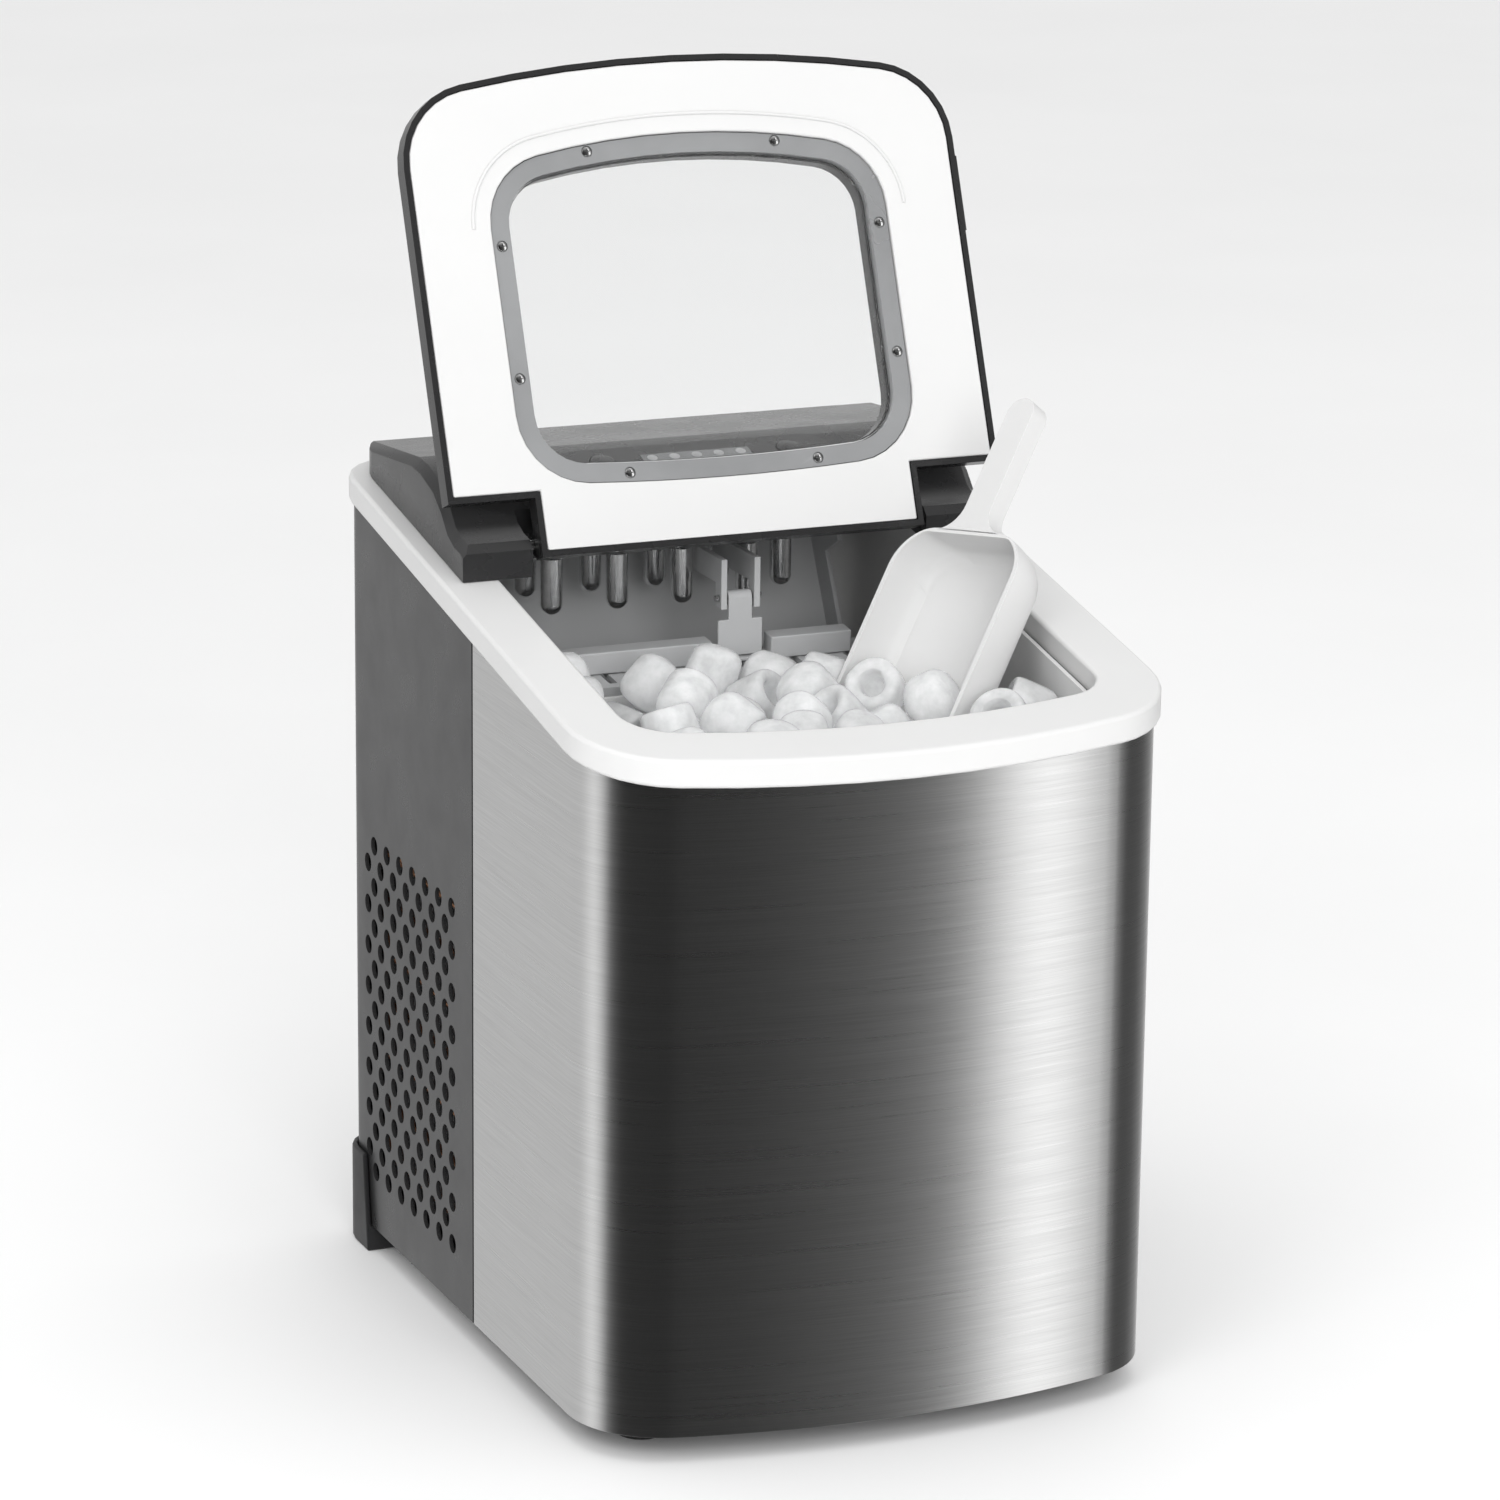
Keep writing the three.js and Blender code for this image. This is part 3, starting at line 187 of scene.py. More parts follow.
def brushed_steel():
    """Steel brushed along the horizontal: long thin scratches, gloss that spreads up and down."""
    s = Shader("brushed_steel")
    fine = s.noise(1, 4, 0.7, s.stretched((22, 22, 2600)))
    broad = s.noise(1, 2, 0.5, s.stretched((8, 8, 700)))
    s.join(s.blend(fine, (0.54, 0.54, 0.537), (0.70, 0.70, 0.697), 0.25, 0.75), s.surface.inputs["Base Color"])
    s.join(s.span(broad, 0.27, 0.31), s.surface.inputs["Roughness"])
    s.join(s.bump(fine, 0.00002, 0.05), s.surface.inputs["Normal"])
    s.set(Metallic=1.0, Anisotropic=0.75, Anisotropic_Rotation=0.25)
    tangent = s.tree.nodes.new("ShaderNodeTangent")
    tangent.direction_type = "RADIAL"
    tangent.axis = "Z"
    s.join(tangent.outputs[0], s.surface.inputs["Tangent"])
    return s.material


def clear(name, color, rough, ior, cloud, grain):
    """Clear or cloudy solid, with more or less haze from place to place."""
    s = Shader(name)
    haze = s.noise(grain, 4)
    s.join(s.span(haze, rough * 0.6, rough * 1.6), s.surface.inputs["Roughness"])
    s.join(s.bump(s.noise(grain * 2, 2), 0.0002, 0.15), s.surface.inputs["Normal"])
    s.join(s.span(haze, 1 - cloud, 1 - cloud * 0.7), s.surface.inputs["Transmission Weight"])
    s.set(Base_Color=(*color, 1), IOR=ior)
    return s.material


def bare_metal(name, color, rough, grain=400):
    """Plated or drawn metal with faint marks."""
    s = Shader(name)
    marks = s.noise(grain, 5, 0.7)
    s.join(s.blend(marks, shade(color, 0.86), shade(color, 1.08)), s.surface.inputs["Base Color"])
    s.join(s.span(marks, rough * 0.7, rough * 1.5), s.surface.inputs["Roughness"])
    s.join(s.bump(marks, 0.00003, 0.2), s.surface.inputs["Normal"])
    s.set(Metallic=1.0)
    return s.material


def printed_board():
    """Green board with a pattern of tracks."""
    s = Shader("printed_board")
    tracks = s.noise(1, 1, 0.2, s.stretched((500, 60, 60)))
    s.join(s.blend(tracks, (0.01, 0.09, 0.04), (0.03, 0.19, 0.08), 0.45, 0.55), s.surface.inputs["Base Color"])
    s.join(s.span(tracks, 0.35, 0.6), s.surface.inputs["Roughness"])
    s.join(s.bump(tracks, 0.0001, 0.4), s.surface.inputs["Normal"])
    return s.material


LOOKS = {
    "brushed_steel": brushed_steel(),
    "dark_paint": moulded("dark_paint", (0.045, 0.045, 0.046), 0.3, 1400, 0.00003, 0.05, 0.35),
    "dark_plastic": moulded("dark_plastic", (0.018, 0.018, 0.0185), 0.27, 2200, 0.00002, 0.05, 0.0, 0.1),
    "black_plastic": moulded("black_plastic", (0.022, 0.022, 0.023), 0.5, 2600, 0.00005, 0.1),
    "black_paint": moulded("black_paint", (0.03, 0.03, 0.03), 0.35, 900, 0.00004, 0.1, 0.2, 0.2),
    "rubber": moulded("rubber", (0.02, 0.02, 0.02), 0.8, 3000, 0.00006, 0.12),
    "white_plastic": moulded("white_plastic", (0.63, 0.63, 0.628), 0.38, 2600, 0.00001, 0.012, drift=0.04),
    "grey_plastic": moulded("grey_plastic", (0.46, 0.465, 0.47), 0.4, 2600, 0.00003, 0.03),
    "clear_plastic": clear("clear_plastic", (0.99, 0.995, 0.995), 0.015, 1.49, 0.01, 30),
    "bright_metal": bare_metal("bright_metal", (0.72, 0.72, 0.72), 0.16),
    "copper": bare_metal("copper", (0.70, 0.36, 0.20), 0.3),
    "aluminium": bare_metal("aluminium", (0.76, 0.77, 0.78), 0.32),
    "board": printed_board(),
    "ice": clear("ice", (0.99, 0.995, 1.0), 0.14, 1.31, 0.5, 150),
}
SMOKED = clear("smoked_plastic", (0.34, 0.345, 0.35), 0.2, 1.45, 0.8, 12)


# ---- mesh helpers ----

def made(name, bm, material, body, nodes=(), smooth=35, bevel=0.0, segments=2, matrix=None):
    """Turns a bmesh into a finished piece that rides on a body."""
    mesh = bpy.data.meshes.new(name)
    if matrix:
        bm.transform(matrix)
    bmesh.ops.recalc_face_normals(bm, faces=bm.faces)
    bm.to_mesh(mesh)
    bm.free()
    obj = bpy.data.objects.new(name, mesh)
    SCENE.collection.objects.link(obj)
    mesh.materials.append(material)
    for polygon in mesh.polygons:
        polygon.use_smooth = True
    if bevel:
        edge = obj.modifiers.new("edges", "BEVEL")
        edge.width = bevel
        edge.segments = segments
        edge.limit_method = "ANGLE"
        edge.angle_limit = math.radians(smooth)
        edge.harden_normals = True
    mesh.set_sharp_from_angle(angle=math.radians(smooth))
    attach(obj, body)
    if nodes:
        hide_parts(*nodes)
    return obj


def skin(node, bevel=0.5 * MM, segments=3, smooth=35, material=None):
    """A finely edged copy of a CAD solid, standing in for it: flat faces merged, edges rounded."""
    bm = bmesh.new()
    bm.from_mesh(frame["nodes"][node].data)
    bmesh.ops.remove_doubles(bm, verts=bm.verts, dist=2e-6)
    bmesh.ops.dissolve_limit(bm, angle_limit=math.radians(0.6), verts=bm.verts, edges=bm.edges)
    look = material or LOOKS[SLOT_OF[node]]
    return made(node + "_skin", bm, look, BODY_OF[node], [node], smooth, bevel, segments)


def arc(cx, cy, radius, start, end, steps):
    angles = [math.radians(start + (end - start) * i / steps) for i in range(steps + 1)]
    return [(cx + radius * math.cos(a), cy + radius * math.sin(a)) for a in angles]


def bowed_u(half, bow_y, bow_radius, corner, end_y, fine=1):
    """The U whose -Y end is bowed, from (-half, end_y) round to (half, end_y)."""
    centre = bow_y + bow_radius
    cx = half - corner
    cy = centre - math.sqrt((bow_radius - corner) ** 2 - cx**2)
    meet = math.degrees(math.atan2(cx, centre - cy))
    return [
        (-half, end_y),
        *arc(-cx, cy, corner, 180, 270 - meet, 14 * fine),
        *arc(0, centre, bow_radius, 270 - meet, 270 + meet, 36 * fine)[1:-1],
        *arc(cx, cy, corner, 270 + meet, 360, 14 * fine),
        (half, end_y),
    ]


def square_u(half, end_y, corner, start_y):
    return [
        (half, start_y),
        *arc(half - corner, end_y - corner, corner, 0, 90, 10),
        *arc(-half + corner, end_y - corner, corner, 90, 180, 10),
        (-half, start_y),
    ]


def rim_top(y):
    return RIM_MID_HEIGHT + RIM_SLOPE * y


def strip(outer, inner, low, top):
    """A closed bent sheet between two open outlines, from a level foot up to a height that follows y."""
    bm = bmesh.new()
    rows = []
    for (ax, ay), (bx, by) in zip(outer, inner):
        rows.append([
            bm.verts.new((ax, ay, low)),
            bm.verts.new((bx, by, low)),
            bm.verts.new((bx, by, top(by))),
            bm.verts.new((ax, ay, top(ay))),
        ])
    for a, b in zip(rows, rows[1:]):
        for k in range(4):
            bm.faces.new((a[k], a[(k + 1) % 4], b[(k + 1) % 4], b[k]))
    bm.faces.new(rows[0])
    bm.faces.new(rows[-1])
    return bm


def turn_profile(profile, sides=32):
    """A closed solid of revolution about Z; the profile runs from axis to axis."""
    bm = bmesh.new()
    rings = []
    for r, z in profile:
        if r < 1e-7:
            rings.append([bm.verts.new((0, 0, z))])
        else:
            turns = [2 * math.pi * i / sides for i in range(sides)]
            rings.append([bm.verts.new((r * math.cos(t), r * math.sin(t), z)) for t in turns])
    for a, b in zip(rings, rings[1:]):
        for i in range(sides):
            k = (i + 1) % sides
            corners = [a[i % len(a)], a[k % len(a)], b[k % len(b)], b[i % len(b)]]
            bm.faces.new(list(dict.fromkeys(corners)))
    return bm


def rod_bm(bm, start, end, radius, sides=24):
    """Adds a closed rod between two points."""
    start, end = Vector(start), Vector(end)
    along = (end - start).normalized()
    turn = Vector((0, 0, 1)).rotation_difference(along).to_matrix().to_4x4()
    place = Matrix.Translation((start + end) / 2) @ turn
    length = (end - start).length
    bmesh.ops.create_cone(
        bm, cap_ends=True, segments=sides, radius1=radius, radius2=radius, depth=length, matrix=place
    )


def box_bm(bm, low, high):
    """Adds a closed box between two corners."""
    low, high = Vector(low), Vector(high)
    size = high - low
    place = Matrix.Translation((low + high) / 2) @ Matrix.Diagonal((*size, 1))
    bmesh.ops.create_cube(bm, size=1, matrix=place)


def cut(obj, cutters_bm):
    """Cuts a set of separate closed solids out of a piece."""
    mesh = bpy.data.meshes.new("cutters")
    cutters_bm.to_mesh(mesh)
    cutters_bm.free()
    tool = bpy.data.objects.new("cutters", mesh)
    SCENE.collection.objects.link(tool)
    step = obj.modifiers.new("holes", "BOOLEAN")
    step.operation = "DIFFERENCE"
    step.solver = "EXACT"
    step.object = tool
    finished = bpy.data.meshes.new_from_object(obj.evaluated_get(bpy.context.evaluated_depsgraph_get()))
    obj.modifiers.remove(step)
    obj.data = finished
    finished.set_sharp_from_angle(angle=math.radians(30))
    bpy.data.objects.remove(tool)


def tube(name, points, radius, material, body, nodes=(), closed=False, sides=4):
    """A round bead or pipe along a route."""
    curve = bpy.data.curves.new(name, "CURVE")
    curve.dimensions = "3D"
    curve.bevel_depth = radius
    curve.bevel_resolution = sides
    curve.use_fill_caps = True
    spline = curve.splines.new("POLY")
    spline.points.add(len(points) - 1)
    for point, place in zip(spline.points, points):
        point.co = (*place, 1)
    spline.use_cyclic_u = closed
    spline.use_smooth = True
    obj = bpy.data.objects.new(name, curve)
    SCENE.collection.objects.link(obj)
    curve.materials.append(material)
    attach(obj, body)
    if nodes:
        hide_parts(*nodes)
    return obj


# ---- housing ----

def front_wrap():
    seam = SEAM_Y - SEAM_GAP
    under_rim = RIM_DEPTH + GAP

    def outline(inset):
        corner = FRONT_CORNER - inset
        return bowed_u(HALF_WIDTH - inset, FRONT_Y + inset, BOW_RADIUS - inset, corner, seam)

    bm = strip(outline(0), outline(WRAP_SKIN), PANEL_BOTTOM, lambda y: rim_top(y) - under_rim)
    made("steel_front", bm, LOOKS["brushed_steel"], "body", ["front_wrap"], 30, 0.15 * MM)


def rear_shell():
    seam = SEAM_Y + SEAM_GAP / 2
    under_rim = RIM_DEPTH + GAP

    def outline(inset):
        return square_u(HALF_WIDTH - inset, BACK_Y - inset, BACK_CORNER - inset, seam)

    bm = strip(outline(0), outline(SHELL_SKIN), PANEL_BOTTOM, lambda y: rim_top(y) - under_rim)
    shell = made("dark_shell", bm, LOOKS["dark_paint"], "body", ["rear_shell"], 30)
    holes = bmesh.new()
    for column in range(VENT_COLUMNS):
        odd = column % 2
        y = VENT_FIRST_Y + column * VENT_PITCH_Y
        for row in range(VENT_ROWS - odd):
            z = VENT_BOTTOM + (row + odd / 2) * VENT_PITCH_Z
            rod_bm(holes, (-HALF_WIDTH - 0.004, y, z), (-HALF_WIDTH + 0.004, y, z), VENT_RADIUS, 20)
    for i in range(SLOT_COUNT):
        x = SLOT_FIRST_X + i * SLOT_PITCH
        box_bm(holes, (x, BACK_Y - 0.004, SLOT_BOTTOM), (x + SLOT_WIDTH, BACK_Y + 0.004, SLOT_TOP))
    low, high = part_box("power_inlet")
    x, z = (low.x + high.x) / 2, (low.z + high.z) / 2
    rod_bm(holes, (x, BACK_Y - 0.006, z), (x, BACK_Y + 0.004, z), 9 * MM, 28)
    cut(shell, holes)


def condenser():
    """Fin stack and a serpentine pipe behind the vents."""
    low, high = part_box("condenser")
    foot = low.z
    stack_low = foot + 15 * MM
    fins = bmesh.new()
    y = low.y
    while y < high.y:
        box_bm(fins, (low.x + 1 * MM, y, stack_low), (high.x - 1 * MM, y + 0.25 * MM, high.z))
        y += 1.9 * MM
    for y0 in (low.y - 0.5 * MM, high.y - 1.2 * MM):
        box_bm(fins, (low.x, y0, foot), (high.x, y0 + 1.7 * MM, high.z))
    made("condenser_fins", fins, LOOKS["aluminium"], "body", ["condenser"], 30)
    route = []
    rows = 7
    x = low.x + 1.5 * MM
    for i in range(rows):
        z = stack_low + 10 * MM + i * (high.z - stack_low - 20 * MM) / (rows - 1)
        ends = (low.y + 2 * MM, high.y - 2 * MM)
        if i % 2:
            ends = ends[::-1]
        route += [(x, ends[0], z), (x, ends[1], z)]
    tube("condenser_pipe", route, 2.4 * MM, LOOKS["copper"], "body")


def plain_skins():
    """Pieces whose frame shape is right and only needs fine edges and a finish."""
    edges = {
        "base_pan": 0.8, "front_foot_left": 0.8, "front_foot_right": 0.8,
        "rear_bumper_left": 1.0, "rear_bumper_right": 1.0, "power_inlet": 0.5,
        "top_rim": 1.7, "inner_tank": 0.7, "drain_cap": 0.8, "top_cover": 0.9,
        "control_panel": 0.3, "power_button": 0.4, "select_button": 0.4,
        "circuit_board": 0.2, "hinge_pin_left": 0.3, "hinge_pin_right": 0.3,
        "lid_shell": 1.0, "lid_liner": 0.8, "window_pane": 0.3,
        "evaporator_bracket": 0.4, "ice_paddle": 0.4, "paddle_pin": 0.2,
        "water_tray": 0.5, "tray_motor": 1.0, "drip_grille": 0.4, "ice_pusher": 0.6,
        "ice_basket": 0.5, "compressor": 1.0,
        "fan_shroud": 0.4, "fan_blade": 0.3, "water_pump": 0.6, "suction_pipe": 0.0,
    }
    for node, width in edges.items():
        skin(node, width * MM, 4 if width > 0.7 else 2)
    skin("window_frame", 0.5 * MM, 3, material=SMOKED)


def lid_screws():
    """Small pan heads with a cross recess, each on its frame screw's place."""
    for number in range(1, 9):
        node = f"lid_screw_{number}"
        low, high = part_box(node)
        centre = (low + high) / 2
        radius, rise = 1.9 * MM, 1.0 * MM
        profile = [(0, -0.5 * MM), (radius * 0.9, -0.5 * MM), (radius, 0)]
        profile += [(radius * math.cos(a), rise * 0.6 * math.sin(a)) for a in (0.5, 0.9, 1.25)]
        profile.append((0, rise * 0.6))
        place = Matrix.Translation(centre) @ Matrix.Rotation(LID_OPEN, 4, "X")
        look = LOOKS["bright_metal"]
        head = made(node + "_head", turn_profile(profile, 24), look, "lid", [node], 40, matrix=place)
        cross = bmesh.new()
        arm, half = 1.1 * MM, 0.2 * MM
        box_bm(cross, (-arm, -half, 0.2 * MM), (arm, half, 2 * MM))
        cross.transform(place)
        cut(head, cross)
        other = bmesh.new()
        box_bm(other, (-half, -arm, 0.2 * MM), (half, arm, 2 * MM))
        other.transform(place)
        cut(head, other)


def window_outline(inset, start=18.5 * MM, end=150 * MM, half=80 * MM, corner=27 * MM):
    """The window's outline in the lid's plane, in three straight-ish sides and round corners."""
    half, corner = half - inset, corner - inset
    middle = (start + end) / 2
    far = bowed_u(half, -end + inset, 300 * MM - inset, corner, -middle)
    return [(x, -y) for x, y in far]


def liner_ridge():
    """The low moulded step on the liner, round the far side of the window."""
    route = [(x, y) for x, y in window_outline(-7 * MM) if y > 100 * MM]
    places = [LID @ Vector((x, y, LINER_FACE + 0.05 * MM)) for x, y in route]
    tube("liner_ridge", places, 0.7 * MM, LOOKS["white_plastic"], "lid")


def indicator_dots():
    """Five small round lenses along the strip on the control panel."""
    skin("indicator_strip", 0.2 * MM, 2, material=SMOKED)
    low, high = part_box("indicator_strip")
    tilt = math.radians(17)
    centre = (low + high) / 2
    for i in range(5):
        x = (i - 2) * 9 * MM
        face = centre + Vector((x, 0, 0)) + Vector((0, -math.sin(tilt), math.cos(tilt))) * 0.55 * MM
        place = Matrix.Translation(face) @ Matrix.Rotation(tilt, 4, "X")
        profile = [(0, -0.2 * MM), (2 * MM, -0.2 * MM), (2 * MM, 0.1 * MM), (1.2 * MM, 0.3 * MM), (0, 0.35 * MM)]
        look = LOOKS["grey_plastic"]
        made(f"indicator_dot_{i + 1}", turn_profile(profile, 24), look, "body", smooth=50, matrix=place)


# ---- ice making ----

def evaporator():
    """A plated U-tube with nine closed fingers hanging from it."""
    low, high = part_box("evaporator")
    finger_radius, tube_radius = 4.2 * MM, 4 * MM
    row_gap = 28 * MM
    pitch = 26.5 * MM
    tube_z = high.z - tube_radius
    first_x = low.x + 14 * MM
    rows = (low.y + finger_radius, low.y + finger_radius + row_gap)
    middle = sum(rows) / 2
    bend_x = first_x + 3 * pitch + 6 * MM
    bend = arc(bend_x, middle, row_gap / 2, -90, 90, 24)
    route = [(low.x, rows[0]), *bend, (low.x, rows[1])]
    metal = LOOKS["bright_metal"]
    places = [(x, y, tube_z) for x, y in route]
    tube("evaporator_tube", places, tube_radius, metal, "body", ["evaporator"], sides=8)
    seats = [(first_x + i * pitch, y) for i in range(4) for y in rows]
    seats.append((bend_x + row_gap / 2, middle))
    r = finger_radius
    dome = [(r * math.sin(a), r - r * math.cos(a)) for a in (math.pi / 2 * i / 8 for i in range(9))]
    for number, (x, y) in enumerate(seats, 1):
        profile = [(px, low.z + pz) for px, pz in dome] + [(r, tube_z - r), (r * 1.25, tube_z - r + 1 * MM)]
        profile += [(r * 1.25, tube_z), (0, tube_z)]
        place = Matrix.Translation((x, y, 0))
        name = f"finger_{number}"
        made(name, turn_profile(profile, 32), metal, "body", smooth=40, matrix=place)


SCOOP_PLACE = (
    Matrix.Translation((29.7 * MM, -55.4 * MM, 248.8 * MM))
    @ Matrix.Rotation(math.radians(-72.9), 4, "Z")
    @ Matrix.Rotation(math.radians(-37.9), 4, "X")
    @ Matrix.Rotation(math.radians(-7.6), 4, "Y")
)
SCOOP_HALF = 32 * MM
SCOOP_BLADE = 76 * MM
SCOOP_DEPTH = 20 * MM
SCOOP_WALL = 1.8 * MM
GRIP_HALF = 6.5 * MM
GRIP_LENGTH = 50 * MM
GRIP_THICKNESS = 8.5 * MM


def scoop_face(inset):
    """Right half of the rim's outline in the scoop's front plane, from the mouth up to the grip."""
    half = SCOOP_HALF - inset
    shoulder = 17 * MM
    points = [(half, SCOOP_BLADE * k / 12) for k in range(10)]
    points = [(x, z) for x, z in points if z < SCOOP_BLADE - shoulder - 1 * MM]
    top = SCOOP_BLADE - inset
    turns = [math.pi / 2 * k / 12 for k in range(13)]
    points += [(half - shoulder + shoulder * math.cos(a), top - shoulder + shoulder * math.sin(a)) for a in turns]
    return points


def scoop():
    """A moulded scoop: a bowl with an open mouth and soft shoulders, and a grip level with its rim."""
    rings = 9

    def loop(level):
        """The bowl's outline at one depth: it draws in towards the bowl's floor."""
        share = level / (rings - 1)
        drawn = 5 * MM * (1 - math.sqrt(1 - share**2.5))
        return [(x - drawn, z - (drawn if z > SCOOP_BLADE - 17 * MM else 0)) for x, z in scoop_face(0)]

    def bowl(inset, floor):
        shells = []
        for level in range(rings):
            right = [(max(x - inset, 0), min(z, SCOOP_BLADE - inset)) for x, z in loop(level)]
            y = floor * level / (rings - 1)
            shells.append([(x, y, z) for x, z in right] + [(-x, y, z) for x, z in reversed(right)])
        return shells

    bm = bmesh.new()
    outer = [[bm.verts.new(p) for p in ring] for ring in bowl(0, SCOOP_DEPTH)]
    inner = [[bm.verts.new(p) for p in ring] for ring in bowl(SCOOP_WALL, SCOOP_DEPTH - SCOOP_WALL)]
    count = len(outer[0])
    for rings_of in (outer, inner):
        for a, b in zip(rings_of, rings_of[1:]):
            for k in range(count - 1):
                bm.faces.new((a[k], a[k + 1], b[k + 1], b[k]))
        bm.faces.new(rings_of[-1])
    for k in range(count - 1):
        bm.faces.new((outer[0][k], outer[0][k + 1], inner[0][k + 1], inner[0][k]))
    for level in range(rings - 1):
        for k in (0, count - 1):
            bm.faces.new((outer[level][k], outer[level + 1][k], inner[level + 1][k], inner[level][k]))
    bm.faces.new((outer[-1][0], outer[-1][-1], inner[-1][-1], inner[-1][0]))
    look = LOOKS["white_plastic"]
    made("scoop_bowl", bm, look, "scoop", ["scoop"], 40, 0.4 * MM, 3, SCOOP_PLACE)
    grip = bmesh.new()
    flare = 11 * MM
    foot = SCOOP_BLADE - 0.6 * MM
    side = [(GRIP_HALF + flare * (1 - math.sin(a)), foot + flare * (1 - math.cos(a))) for a in
            (math.pi / 2 * k / 8 for k in range(9))]
    tip = arc(0, SCOOP_BLADE + GRIP_LENGTH, GRIP_HALF, 0, 180, 20)
    outline = side + tip + [(-x, z) for x, z in reversed(side)]
    front = [grip.verts.new((x, 0, z)) for x, z in outline]
    back = [grip.verts.new((x, GRIP_THICKNESS, z)) for x, z in outline]
    grip.faces.new(front)
    grip.faces.new(back[::-1])
    for i in range(len(outline)):
        k = (i + 1) % len(outline)
        grip.faces.new((front[i], front[k], back[k], back[i]))
    made("scoop_grip", grip, look, "scoop", (), 40, 1.0 * MM, 4, SCOOP_PLACE)


def bullet(rng):
    """One piece of ice: round at one end, a short bore in the other, melted out of true."""
    radius = rng.uniform(9.7, 11.6) * MM
    length = rng.uniform(19, 23) * MM
    bore = 4.5 * MM
    dome = [(radius * math.sin(a), radius * 0.62 * (1 - math.cos(a))) for a in (math.pi / 2 * i / 7 for i in range(8))]
    lip = [(radius, length - 3 * MM), (radius * 0.93, length - 1 * MM), (radius * 0.8, length)]
    well = [(bore * 1.2, length - 0.6 * MM), (bore, length - 3 * MM), (bore * 0.85, length * 0.45), (0, length * 0.36)]
    if rng.random() < 0.6:
        lip = [(radius, length - 5 * MM), (radius * 0.9, length - 2 * MM), (radius * 0.6, length)]
        well = [(bore * 0.5, length + 0.4 * MM), (0, length + 0.5 * MM)]
    bm = turn_profile(dome + lip + well, 20)
    bm.transform(Matrix.Translation((0, 0, -length / 2)))
    seed = Vector((rng.uniform(0, 90), rng.uniform(0, 90), rng.uniform(0, 90)))
    for v in bm.verts:
        v.co += 0.9 * MM * noise.noise_vector(v.co * 70 + seed)
    return bm


def opening_outline(inset, back):
    corner = OPENING_CORNER - inset
    front = bowed_u(OPENING_HALF - inset, OPENING_FRONT + inset, BOW_RADIUS - inset, corner, 0)
    return front + square_u(OPENING_HALF - inset, back - inset, 4 * MM, 0)[1:-1]


SPARE_PIECES = 16     # how many of the pieces the scoop displaces lie beside it instead


ICE_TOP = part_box("ice_heap")[1].z + 5 * MM     # the lid shuts just above this


